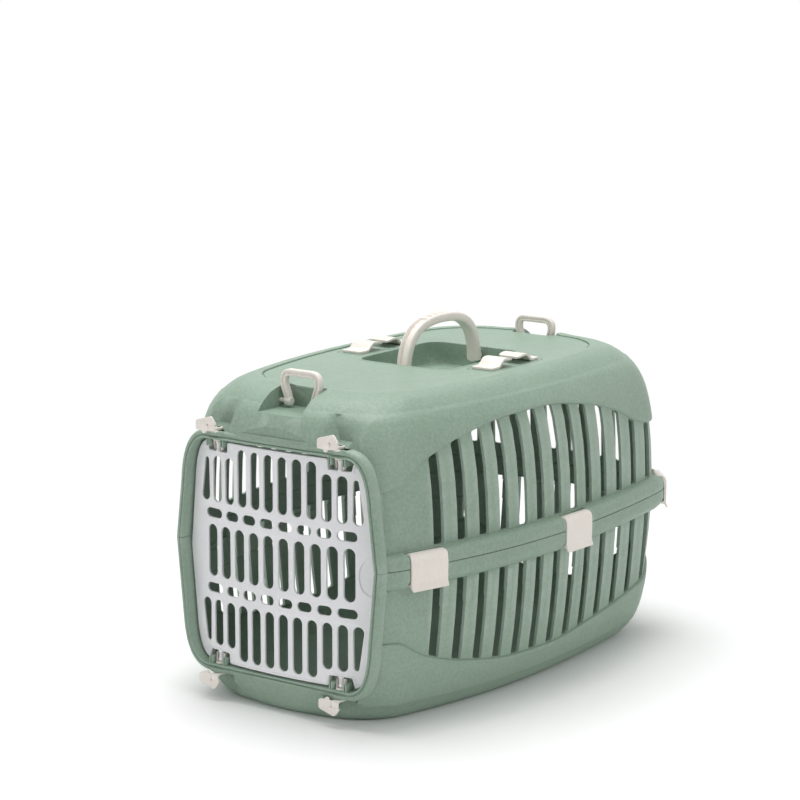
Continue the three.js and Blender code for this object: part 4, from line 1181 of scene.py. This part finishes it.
# A turning latch about its own upright line, with the inner face of the opening's edge at zero
def latchParts():
    inner, wall, gap = latchForm["jawInner"], latchForm["jawWall"], latchForm["clearance"]
    outer = inner + wall
    rings = []
    for at in range(25):
        turn = math.radians(mix(-90 + latchForm["open"], 270 - latchForm["open"], at / 24))
        # Lower at the back, with a lobe at each side
        low = -gap - latchForm["jawHeight"] + latchForm["backDrop"] * max(0, math.sin(turn)) ** 2
        cos, sin = math.cos(turn), math.sin(turn)
        lobe = 0.5 if at in (0, 24) else 0
        near, far = inner + lobe, outer - lobe
        section = [(near, -gap), (far, -gap), (far, low + 0.8), (far - 0.5, low), (near + 0.5, low),
                   (near, low + 0.8)]
        rings.append([(size * cos, size * sin, z) for size, z in section])
    jaw = loft(rings)
    cap = turned([(0.1, -gap - latchForm["cap"]), (outer, -gap - latchForm["cap"]), (outer, -gap - 0.3),
                  (outer - 0.3, -gap), (0.1, -gap)], 32)
    low = opening["lip"] + gap
    stem = turned([(latchForm["stem"], -gap - 0.6), (latchForm["stem"], low + latchForm["armHeight"])])
    top, hub = low + latchForm["armHeight"], latchForm["hub"]
    hubPart = turned([(0.1, low), (hub - 0.3, low), (hub, low + 0.3), (hub, top - 0.3), (hub - 0.3, top),
                      (0.1, top)], 28)
    front, back = latchFaces()
    arm = prism([(-3.4, back + 0.6), (-1.9, -3), (1.9, -3), (3.4, back + 0.6)], low, top, "xy")
    web = prism([(back + 0.4, low + 2), (-3.4, low + 2), (back + 0.4, low + 6.5)], -0.8, 0.8, "yz")
    near, far, end = back - 1.6, back + 2.6, latchForm["short"]
    foot = prism([(0.9, near), (end, near), (end, far), (0.9, far)], low - 0.6, low + 0.5, "xy")
    tab = arc((-8, low - 0.2), 2.5, 180, 360, 12)
    tab = prism([(-10.5, low + 1)] + tab + [(-5.5, low + 1)], front + 0.5, back - 0.3)
    return [jaw, cap, stem, hubPart, arm, web, foot, tab]


# The lever plate, rounded at its long end and pointed at the other
def latchPlate():
    low = opening["lip"] + latchForm["clearance"]
    far, tip = -latchForm["long"], latchForm["short"]
    outline = [(tip - 1.5, low), (tip - 1.5, low + 6.2), (tip, low + 7), (1.7, low + 13.3)]
    outline += arc((-0.2, low + 12.4), 1.6, 40, 100, 4) + arc((far + 3.1, low + 6.9), 3.1, 108, 180, 6)
    outline += arc((far + 1.9, low + 1.9), 1.9, 180, 270, 5)
    front, back = latchFaces()
    plate = makeObject("plate", prism(outline, front, back))
    # The lower half steps back along a slit, which ends in a small hole
    step = [(-3, low - 2), (tip + 2, low - 2), (tip + 2, low + 6.9), (-2.2, low + 6.3), (-3, low + 5.6)]
    cutWith(plate, makeObject("step", prism(step, front - 3, front + 0.8)))
    hole = circle(latchForm["hole"], 14, (-3.3, low + 6.1))
    return cutWith(plate, makeObject("hole", prism(hole, front - 3, front + 1.4)))


# One of the four latches, turned over where it stands under the sill
def turningLatch(name, x, edgeZ, up):
    plate = bevelled(latchPlate(), latchForm["round"])
    rest = makeObject("latchRest", joinParts(latchParts()), bevel=0.25)
    return place(joinObjects(name, [plate, rest]), (x, pinY, edgeZ), over=up < 0)


# Moves a finished mesh to its place, turned over first where it hangs the other way up
def place(thing, offset, turn=0, over=False):
    if over:
        thing.data.transform(Matrix.Scale(-1, 4, (0, 0, 1)))
        thing.data.flip_normals()
    thing.data.transform(Matrix.Rotation(math.radians(turn), 4, "Z"))
    thing.data.transform(Matrix.Translation(Vector(offset) * millimetre))
    return thing


clipForm = {
    "rod": 2.2,
    "inset": 4.5,
    "gap": 0.3,
    "eyeWall": 1.8,
    "proud": 2,
    "thickness": 2.2,
    "tail": 4,
    "lip": 0.4,
    "corner": 4,
    "tailCorner": 2.5,
    "round": 0.45,
}


# A side clip in the frame of its place on the rim: X outwards, Y along the rim
def sideClip(name, width, spot, turn):
    eye = rods["lidRise"] + clipForm["gap"]
    outer = clipForm["rod"] + clipForm["gap"] + clipForm["eyeWall"]
    proud, thick = clipForm["proud"], clipForm["thickness"]
    under = -rods["baseDrop"] - clipForm["rod"] - clipForm["gap"]
    low = under - thick
    lipIn = -clipForm["inset"] - clipForm["rod"] - clipForm["gap"]
    inner = proud - thick
    line = arc((-clipForm["inset"], eye), outer, 270, 90, 18)
    line += bezier([(-clipForm["inset"], eye + outer), (proud - 1.2, eye + outer), (proud, eye - 2.4)], 8)[1:]
    line += [(proud + 0.25, 3), (proud + 0.3, -3), (proud + 0.1, -9)]
    foot = low - clipForm["tail"]
    line += bezier([(proud, -12), (proud - 0.4, low + 1.4), (proud + 0.6, low - 1.2), (proud + thick, foot)], 8)
    line += [(proud + thick - 1.5, foot)]
    line += bezier([(proud + thick - 1.6, foot), (proud - 0.6, low - 1.4), (inner, low)], 5)[1:]
    line += [(lipIn - thick + 0.8, low), (lipIn - thick, low + 0.8), (lipIn - thick, under + clipForm["lip"]),
             (lipIn, under + clipForm["lip"]), (lipIn + 0.3, under), (inner - 1.2, under)]
    line += bezier([(inner - 1.2, under), (inner, under), (inner, under + 1.6)], 4)[1:]
    line += [(inner, eye - outer - 1.2)]
    line += bezier([(inner, eye - outer - 1.2), (inner, eye - outer), (inner - 1.6, eye - outer)], 4)[1:]
    body = makeObject(name, prism(line, -width / 2, width / 2))
    corner, tailCorner, high, foot = clipForm["corner"], clipForm["tailCorner"], eye + outer + 0.5, foot - 0.5
    face = []
    for sign, edge, r, start in ((1, high, corner, 0), (-1, high, corner, 90),
                                 (-1, foot, tailCorner, 180), (1, foot, tailCorner, 270)):
        inward = -1 if edge == high else 1
        face += arc((sign * (width / 2 - r), edge + inward * r), r, start, start + 90, 6)
    cutWith(body, makeObject("rounding", prism(face, -20, 20, "yz")), "INTERSECT")
    bore = circle(clipForm["rod"] + clipForm["gap"], 28, (-clipForm["inset"], eye))
    cutWith(body, makeObject("bore", prism(bore, -width, width)))
    return place(bevelled(body, clipForm["round"], 3), spot, turn)


# Rings of a section carried along a path. The path gives places along and up, and a section
# gives points across and outwards.
def sweptRings(path, sectionAt):
    rings = []
    for at, (along, z) in enumerate(path):
        before, after = path[max(0, at - 1)], path[min(len(path) - 1, at + 1)]
        way = Vector((after[0] - before[0], after[1] - before[1])).normalized()
        rings.append([(u, along - way.y * v, z + way.x * v) for u, v in sectionAt(along)])
    return rings


handleForm = {
    "foot": 60,
    "rise": 46,
    "halfWidth": 6.5,
    "half": 4.5,
    "legFrom": 49.9,
    "legChannel": 3.4,
    "gripChannel": 2.3,
    "ribs": 6,
    "ribPitch": 9,
    "ribHalf": 2.4,
    "ribRise": 0.3,
    "footRadius": 6.6,
    "footHalf": 4.4,
    "drop": 9,
    "pin": 3,
}


# Two rails with a channel between them, or a rib where the depth is less than nothing
def handleSection(depth):
    w, h = handleForm["halfWidth"], handleForm["half"]
    right = [(0, -h), (w - 2.4, -h), (w - 1.1, -h + 0.4), (w - 0.3, -h + 1.2), (w, -h + 2.4), (w, h - 2),
             (w - 0.3, h - 1), (w - 1, h - 0.3), (w - 1.9, h), (w - 2.6, h - 0.1 - max(0, depth) * 0.3),
             (w - 3, h - depth), (0, h - depth)]
    return right + [(-u, v) for u, v in right[-2:0:-1]]


# The handle's arch with its ribs, and a rounded foot with a pin at each end
def carryHandle(name):
    f = handleForm
    foot, half, high = f["foot"], f["half"], f["rise"]
    side = bezier([(-foot, -half), (-foot * 0.97, 33.1), (-foot * 0.7, high), (0, high)], 60)
    arch = side + [(-y, z) for y, z in side[-2::-1]]
    heightAt = smoothCurve([(y, z) for y, z in arch if abs(y) < 50])
    ribs = [(at - (f["ribs"] - 1) / 2) * f["ribPitch"] for at in range(f["ribs"])]
    leg = [(y, z) for y, z in side if y < -f["legFrom"]]
    grip = [(y, z) for y, z in arch if abs(y) <= f["legFrom"] and all(abs(y - rib) > 3.9 for rib in ribs)]
    steps = (-3.6, -3, -2.6, -2.2, -1.8, -1.2, 0, 1.2, 1.8, 2.2, 2.6, 3, 3.6)
    grip += [(rib + step, heightAt(rib + step)) for rib in ribs for step in steps]

    def sectionAt(y):
        onLeg = min(1, max(0, (abs(y) - 26) / 16))
        off = min(1, max(0, (min(abs(y - rib) for rib in ribs) - f["ribHalf"] + 0.8) / 1.6))
        channel = mix(f["gripChannel"], f["legChannel"], onLeg)
        return handleSection(mix(-f["ribRise"], channel, off * off * (3 - 2 * off)))

    rings = sweptRings(leg + sorted(grip) + [(-y, z) for y, z in leg[::-1]], sectionAt)
    ends = []
    for sign in (1, -1):
        near, far = sign * (foot - f["footHalf"]), sign * (foot + f["footHalf"])
        ends.append(rod((0, near, 0), (0, far, 0), f["footRadius"], 36, 0.8))
        ends.append(rod((0, sign * foot, 0), (0, sign * (well["halfY"] + well["wall"]), 0), f["pin"], 24, 0.5))
    thing = joinObjects(name, [makeObject("arch", loft(rings)), makeObject("feet", joinParts(ends))])
    return place(thing, (0, well["y"], topZ - f["drop"]))


loopForm = {
    "places": {"front": -206, "rear": 183},
    "foot": 15,
    "top": 20,
    "rise": 27,
    "half": 3.25,
    "groove": 0.9,
    "barrel": 4,
    "barrelHalf": 3.6,
    "pin": 2,
    "drop": 14,
}


# A strap loop with a groove along both faces, on two barrels
def strapLoop(name, y):
    f = loopForm
    foot, top, high = f["foot"], f["top"], f["rise"]
    h, g = f["half"], f["groove"]
    side = bezier([(-foot, -h), (-foot, high * 0.3), (-top, high * 0.4), (-top, high * 0.7)], 14)
    side += bezier([(-top, high * 0.7), (-top, high), (-top * 0.6, high)], 12)[1:]
    section = [(-h, -h + 1), (-h + 0.3, -h + 0.3), (-h + 1, -h), (h - 1, -h), (h - 0.3, -h + 0.3), (h, -h + 1),
               (h, -1.2), (h - 0.25, -0.95), (h - g, -0.8), (h - g, 0.8), (h - 0.25, 0.95), (h, 1.2), (h, h - 1),
               (h - 0.3, h - 0.3), (h - 1, h), (-h + 1, h), (-h + 0.3, h - 0.3), (-h, h - 1), (-h, 1.2),
               (-h + 0.25, 0.95), (-h + g, 0.8), (-h + g, -0.8), (-h + 0.25, -0.95), (-h, -1.2)]
    rings = sweptRings(side + [(0, high)] + [(-x, z) for x, z in side[::-1]], lambda along: section)
    rings = [[(x, across, z) for across, x, z in ring] for ring in rings]
    ends = []
    for sign in (1, -1):
        near, far = sign * (foot - f["barrelHalf"]), sign * (foot + f["barrelHalf"])
        ends.append(rod((near, 0, 0), (far, 0, 0), f["barrel"], 30, 0.6))
        ends.append(rod((sign * foot, 0, 0), (sign * (loopPocket["half"] + 3), 0, 0), f["pin"], 20, 0.3))
    thing = joinObjects(name, [makeObject("loop", loft(rings)), makeObject("barrels", joinParts(ends))])
    return place(thing, (0, y, topZ - f["drop"]))


hookForm = {
    "x": 78,
    "places": {"front": (-29, 0), "rear": (53, 180)},
    "length": 36,
    "width": 24,
    "thickness": 2.2,
    "rise": 6.5,
    "corner": 3,
    "round": 0.4,
}


# A belt hook: a flat foot and a tongue that rises over the belt
def beltHook(name, x, y, turn):
    f = hookForm
    long, half, thick, rise = f["length"], f["width"] / 2, f["thickness"], f["rise"]
    foot, bend, crest = (long * share for share in (0.34, 0.5, 0.66))
    tip, top = rise * 0.72, rise + thick
    line = [(0, 0), (foot, 0)] + bezier([(foot, 0), (bend, 0), (bend, rise), (crest, rise)], 10)[1:]
    line += bezier([(crest, rise), (crest + 5, rise), (long, tip + 0.6), (long, tip)], 6)[1:]
    line += bezier([(long, tip + thick), (crest + 6, top + 0.2), (crest, top)], 6)
    line += bezier([(crest, top), (bend - 1.1, top), (bend - 2.2, thick), (foot - 1.1, thick)], 10)[1:]
    line += [(0, thick)]
    body = makeObject(name, prism(line, -half, half, "yz"))
    plan = roundedPlan(-half, -0.01, half, long + 0.01, f["corner"])
    cutWith(body, makeObject("rounding", prism(plan, -5, 20, "xy")), "INTERSECT")
    return place(bevelled(body, f["round"], 3), (x, y, topZ - panel["recess"] + 0.3), turn)


finishes = {
    # The pale colour serves grain specks, scuffs and the painted highlight on convex edges; the amount for edges
    # sets that painted highlight
    "greenOutside": {"colour": (0.250, 0.348, 0.268), "deep": (0.212, 0.305, 0.230), "paleHighlight": (0.42, 0.51, 0.44),
                     "roughness": 0.50, "polish": 0.14, "grain": 900, "relief": 0.9, "highlightAmount": 0.55, "scuffs": 0.35},
    # The inside is the same green plastic as the outside, darkened here as painted shade; it is also glossier
    "greenInsidePaintedShade": {"colour": (0.150, 0.222, 0.165), "deep": (0.118, 0.182, 0.132), "paleHighlight": (0.33, 0.42, 0.35),
                    "roughness": 0.30, "polish": 0.10, "grain": 300, "relief": 0.3, "highlightAmount": 0.4, "scuffs": 0.25},
    "beigeSatin": {"colour": (0.84, 0.79, 0.725), "deep": (0.79, 0.73, 0.66), "paleHighlight": (0.90, 0.87, 0.83),
                   "roughness": 0.36, "polish": 0.10, "grain": 1100, "relief": 0.35, "highlightAmount": 0.5, "scuffs": 0.25},
    "doorWhite": {"colour": (0.80, 0.80, 0.815), "deep": (0.74, 0.745, 0.765), "paleHighlight": (0.88, 0.88, 0.89),
                  "roughness": 0.34, "polish": 0.10, "grain": 1000, "relief": 0.25, "highlightAmount": 0.4, "scuffs": 0.3,
                  "glow": 0.12},
}


# A node group with one number in and named numbers out: the group, its number, where its results
# go, and the object's own coordinates
def effect(name, label, value, results):
    group = bpy.data.node_groups.new(name, "ShaderNodeTree")
    group.interface.new_socket(name=label, in_out="INPUT", socket_type="NodeSocketFloat").default_value = value
    for result in results:
        group.interface.new_socket(name=result, in_out="OUTPUT", socket_type="NodeSocketFloat")
    given = group.nodes.new("NodeGroupInput").outputs[label]
    where = group.nodes.new("ShaderNodeTexCoord").outputs["Object"]
    return group, given, group.nodes.new("NodeGroupOutput").inputs, where


def mathNode(tree, operation, first, second, clamp=False):
    node = tree.nodes.new("ShaderNodeMath")
    node.operation = operation
    node.use_clamp = clamp
    for socket, value in zip(node.inputs, (first, second)):
        if isinstance(value, (int, float)):
            socket.default_value = value
        else:
            tree.links.new(value, socket)
    return node.outputs[0]


def noiseNode(tree, vector, scale, detail=3, rough=0.5):
    node = tree.nodes.new("ShaderNodeTexNoise")
    tree.links.new(vector, node.inputs["Vector"])
    node.inputs["Detail"].default_value = detail
    node.inputs["Roughness"].default_value = rough
    if isinstance(scale, (int, float)):
        node.inputs["Scale"].default_value = scale
    else:
        tree.links.new(scale, node.inputs["Scale"])
    return node.outputs["Fac"]


def rampNode(tree, value, low, high):
    node = tree.nodes.new("ShaderNodeMapRange")
    node.interpolation_type = "SMOOTHSTEP"
    tree.links.new(value, node.inputs["Value"])
    node.inputs["From Min"].default_value = low
    node.inputs["From Max"].default_value = high
    return node.outputs["Result"]


def mixColours(tree, share, first, second):
    node = tree.nodes.new("ShaderNodeMix")
    node.data_type = "RGBA"
    tree.links.new(share, node.inputs["Factor"])
    for label, value in (("A", first), ("B", second)):
        socket = [one for one in node.inputs if one.name == label and one.type == "RGBA"][0]
        if isinstance(value, tuple):
            socket.default_value = value
        else:
            tree.links.new(value, socket)
    return [one for one in node.outputs if one.type == "RGBA"][0]


# The sum of values, each times its weight
def weighted(tree, *terms):
    parts = [mathNode(tree, "MULTIPLY", value, weight) for value, weight in terms]
    total = parts[0]
    for part in parts[1:]:
        total = mathNode(tree, "ADD", total, part)
    return total


# One where the camera looks straight, in a reflection or through something clear
def seenRays(tree):
    rays = tree.nodes.new("ShaderNodeLightPath").outputs
    indirect = mathNode(tree, "MAXIMUM", rays["Is Glossy Ray"], rays["Is Transmission Ray"])
    return mathNode(tree, "MAXIMUM", rays["Is Camera Ray"], indirect)


def drawnOut(group, where, scale, turn=(0, 0, 0)):
    node = group.nodes.new("ShaderNodeMapping")
    node.inputs["Rotation"].default_value = turn
    node.inputs["Scale"].default_value = scale
    group.links.new(where, node.inputs["Vector"])
    return node.outputs["Vector"]


# The spark-eroded grain of the mould: small rounded cells over a finer noise
def makeMouldGrain():
    group, size, out, where = effect("mouldGrain", "Size", 900.0, ["Height", "Shade"])
    cells = group.nodes.new("ShaderNodeTexVoronoi")
    cells.feature = "SMOOTH_F1"
    cells.inputs["Smoothness"].default_value = 0.6
    group.links.new(where, cells.inputs["Vector"])
    group.links.new(size, cells.inputs["Scale"])
    coarse = noiseNode(group, where, mathNode(group, "MULTIPLY", size, 0.35), 2)
    fine = noiseNode(group, where, mathNode(group, "MULTIPLY", size, 1.7), 2)
    height = weighted(group, (cells.outputs["Distance"], 0.5), (coarse, 0.6), (fine, 0.25))
    group.links.new(height, out["Height"])
    group.links.new(weighted(group, (coarse, 0.6), (fine, 0.4)), out["Shade"])
    return group


# Slow changes of tone where the plastic flowed through the mould
def makeFlowTone():
    group, amount, out, where = effect("flowTone", "Amount", 1.0, ["Tone"])
    drawn = drawnOut(group, where, (1, 0.55, 1.4))
    clouds, streaks = noiseNode(group, drawn, 7, 4, 0.55), noiseNode(group, drawn, 60, 3, 0.6)
    tone = rampNode(group, weighted(group, (clouds, 0.7), (streaks, 0.3)), 0.3, 0.7)
    group.links.new(mathNode(group, "MULTIPLY", tone, amount, True), out["Tone"])
    return group


# Painted highlight: paler convex edges, patchy along their length
def makeEdgeHighlight():
    group, amount, out, where = effect("edgeHighlight", "Amount", 0.5, ["Mask"])
    edges = rampNode(group, group.nodes.new("ShaderNodeNewGeometry").outputs["Pointiness"], 0.515, 0.60)
    patches = rampNode(group, noiseNode(group, where, 90, 4, 0.6), 0.3, 0.7)
    patches = mathNode(group, "ADD", mathNode(group, "MULTIPLY", patches, 0.6), 0.4)
    mask = mathNode(group, "MULTIPLY", edges, patches)
    group.links.new(mathNode(group, "MULTIPLY", mask, amount, True), out["Mask"])
    return group


# Light scuffs and hairlines from handling
def makeScuffs():
    group, amount, out, where = effect("scuffs", "Amount", 0.3, ["Mask"])
    drawn = drawnOut(group, where, (12, 260, 110), (0.5, 0.3, 0.7))
    lines = rampNode(group, noiseNode(group, drawn, 1, 3, 0.6), 0.64, 0.76)
    patches = rampNode(group, noiseNode(group, where, 14, 2), 0.5, 0.68)
    mask = mathNode(group, "MULTIPLY", lines, patches)
    group.links.new(mathNode(group, "MULTIPLY", mask, amount, True), out["Mask"])
    return group


mouldGrain, flowTone, edgeHighlight, scuffs = makeMouldGrain(), makeFlowTone(), makeEdgeHighlight(), makeScuffs()


# One of the finishes, from the four shared effects
def mouldedPlastic(name):
    look = finishes[name]
    material = bpy.data.materials.new(name)
    material.use_nodes = True
    tree = material.node_tree
    shader = tree.nodes["Principled BSDF"]

    def placed(group, label, value):
        node = tree.nodes.new("ShaderNodeGroup")
        node.node_tree = group
        node.inputs[label].default_value = value
        return node.outputs

    grain = placed(mouldGrain, "Size", look["grain"])
    tone = placed(flowTone, "Amount", 1.0)["Tone"]
    # The edge mask paints a highlight on convex edges
    paleHighlight = placed(edgeHighlight, "Amount", look["highlightAmount"])["Mask"]
    rubbed = placed(scuffs, "Amount", look["scuffs"])["Mask"]
    colour, deep, pale = ((*look[one], 1.0) for one in ("colour", "deep", "paleHighlight"))
    body = mixColours(tree, tone, deep, colour)
    speck = mathNode(tree, "MULTIPLY", rampNode(tree, grain["Shade"], 0.42, 0.62), 0.22)
    body = mixColours(tree, speck, body, pale)
    # Painted highlight on convex edges and real scuffs, both in the pale colour
    body = mixColours(tree, mathNode(tree, "MAXIMUM", paleHighlight, rubbed), body, pale)
    tree.links.new(body, shader.inputs["Base Color"])
    rough = weighted(tree, (grain["Shade"], look["polish"]), (tone, -0.05), (rubbed, 0.3))
    rough = mathNode(tree, "ADD", rough, look["roughness"] - look["polish"] / 2)
    tree.links.new(rough, shader.inputs["Roughness"])
    bump = tree.nodes.new("ShaderNodeBump")
    bump.inputs["Strength"].default_value = look["relief"]
    bump.inputs["Distance"].default_value = 0.00035
    height = mathNode(tree, "SUBTRACT", grain["Height"], mathNode(tree, "MULTIPLY", rubbed, 0.4))
    tree.links.new(height, bump.inputs["Height"])
    tree.links.new(bump.outputs["Normal"], shader.inputs["Normal"])
    if "glow" in look:  # light passes a little way into the white plastic
        shader.inputs["Subsurface Weight"].default_value = look["glow"]
        shader.inputs["Subsurface Radius"].default_value = (1, 1, 1)
        shader.inputs["Subsurface Scale"].default_value = 0.003
    return material


# The second green is the outside green darkened as painted shade, for the inner faces of the shells
green, greenInsidePaintedShade = mouldedPlastic("greenOutside"), mouldedPlastic("greenInsidePaintedShade")
beige, white = mouldedPlastic("beigeSatin"), mouldedPlastic("doorWhite")
# The rubbed edges in this text are the painted highlight on convex edges
print("finishes: grain, tone, rubbed edges and scuffs")

for node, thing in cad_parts.items():
    material = green if node.endswith("_shell") else white if node == "door" else beige
    for at in range(len(thing.data.materials)):
        thing.data.materials[at] = material


# Puts a finished piece on its body, in the place of its nodes
def dress(thing, body, nodes, slot, *materials):
    if len(thing.data.materials) < len(materials):
        thing.data.materials.clear()
        for material in materials:
            thing.data.materials.append(material)
    for at, material in enumerate(materials):
        thing.data.materials[at] = material
    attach(thing, body)
    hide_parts(*nodes)


# The inner faces of both shells get the darker green, painted shade
dress(baseShell(), "base", ["base_shell"], "green_plastic", green, greenInsidePaintedShade)
dress(lidShell(), "lid", ["lid_shell"], "green_plastic", green, greenInsidePaintedShade)
dress(grilleDoor(), "door", ["door"], "door_plastic", white)

for shell, edgeZ, up in (("lid", opening["arch"], 1), ("base", opening["sill"], -1)):
    for sideName, x in (("left", -pinX), ("right", pinX)):
        node = f"latch_{shell}_{sideName}"
        dress(turningLatch(node + "_form", x, edgeZ, up), node, [node], "beige_plastic", beige)
print("latches: jaws, stems and levers")

for name, side, clip in clipPlaces():
    node = "clip_rear" if name == "rear" else f"clip_{name}_{'right' if side > 0 else 'left'}"
    thing = sideClip(node + "_form", clip["width"], (side * clip["x"], clip["y"], rimZ), clipTurn(clip, side))
    dress(thing, node, [node], "beige_plastic", beige)
print("clips: hooks round the rods of the lid")

dress(carryHandle("carry_handle"), "main_handle", ["main_handle"], "beige_plastic", beige)
for end, y in loopForm["places"].items():
    node = f"strap_loop_{end}"
    dress(strapLoop(node + "_form", y), node, [node], "beige_plastic", beige)
for sideName, side in (("right", 1), ("left", -1)):
    for end, (y, turn) in hookForm["places"].items():
        node = f"belt_hook_{end}_{sideName}"
        dress(beltHook(node + "_form", side * hookForm["x"], y, turn), "lid", [node], "beige_plastic", beige)
print("handle, strap loops and belt hooks")

# Camera, at the photograph's viewing angle
view = {"place": (1.47148, -2.06219, 0.74746), "turn": (79.03, 0, 36.227), "lens": 118.26, "sensor": 36}
cameraData = bpy.data.cameras.new("camera")
cameraData.lens = view["lens"]
cameraData.sensor_width = view["sensor"]
camera = bpy.data.objects.new("camera", cameraData)
camera.location = view["place"]
camera.rotation_euler = [math.radians(turn) for turn in view["turn"]]
bpy.context.scene.collection.objects.link(camera)
bpy.context.scene.camera = camera

# Floor, lights and a white surround
studio = {"soft": 0.42, "floor": 0.97, "near": 0.42, "far": 0.95, "span": 6000, "roughness": 0.55, "shine": 0.3}
world = bpy.data.worlds.new("studio")
bpy.context.scene.world = world
world.use_nodes = True
tree = world.node_tree
tree.nodes.clear()
output = tree.nodes.new("ShaderNodeOutputWorld")
blend = tree.nodes.new("ShaderNodeMixShader")
soft = tree.nodes.new("ShaderNodeBackground")
soft.inputs["Strength"].default_value = studio["soft"]
soft.inputs["Color"].default_value = (1, 1, 1, 1)
plainWhite = tree.nodes.new("ShaderNodeBackground")
plainWhite.inputs["Color"].default_value = (1, 1, 1, 1)
tree.links.new(seenRays(tree), blend.inputs["Fac"])
tree.links.new(soft.outputs["Background"], blend.inputs[1])
tree.links.new(plainWhite.outputs["Background"], blend.inputs[2])
tree.links.new(blend.outputs["Shader"], output.inputs["Surface"])

span = studio["span"]
corners = [(-span, -span, 0), (span, -span, 0), (span, span, 0), (-span, span, 0)]
floor = makeObject("floor", (corners, [[0, 1, 2, 3]]))
floorMaterial = bpy.data.materials.new("floorWhite")
floorMaterial.use_nodes = True
tree = floorMaterial.node_tree
surface = tree.nodes["Principled BSDF"]
surface.inputs["Base Color"].default_value = (studio["floor"], studio["floor"], studio["floor"], 1)
surface.inputs["Roughness"].default_value = studio["roughness"]
surface.inputs["Specular IOR Level"].default_value = studio["shine"]
away = tree.nodes.new("ShaderNodeVectorMath")
away.operation = "LENGTH"
tree.links.new(tree.nodes.new("ShaderNodeTexCoord").outputs["Object"], away.inputs[0])
far = rampNode(tree, away.outputs["Value"], studio["near"], studio["far"])
backdrop = tree.nodes.new("ShaderNodeEmission")
blend = tree.nodes.new("ShaderNodeMixShader")
tree.links.new(mathNode(tree, "MULTIPLY", far, seenRays(tree)), blend.inputs["Fac"])
tree.links.new(surface.outputs["BSDF"], blend.inputs[1])
tree.links.new(backdrop.outputs["Emission"], blend.inputs[2])
tree.links.new(blend.outputs["Shader"], tree.nodes["Material Output"].inputs["Surface"])
floor.data.materials.append(floorMaterial)

lamps = {
    "top": {"place": (-0.35, 0.1, 2.5), "aim": (0, 0, 0.1), "size": 1.9, "power": 50},
    "right": {"place": (2.5, -0.7, 1.5), "aim": (0, 0, 0.2), "size": 1.0, "power": 12},
    "front": {"place": (-1.5, -2.4, 1.2), "aim": (0, 0, 0.2), "size": 1.0, "power": 8},
}
for name, lamp in lamps.items():
    light = bpy.data.lights.new(name, "AREA")
    light.shape = "DISK"
    light.size = lamp["size"]
    light.energy = lamp["power"]
    thing = bpy.data.objects.new(name, light)
    thing.location = lamp["place"]
    thing.rotation_euler = (Vector(lamp["aim"]) - Vector(lamp["place"])).to_track_quat("-Z", "Y").to_euler()
    bpy.context.scene.collection.objects.link(thing)

bpy.context.scene.view_settings.view_transform = "Standard"
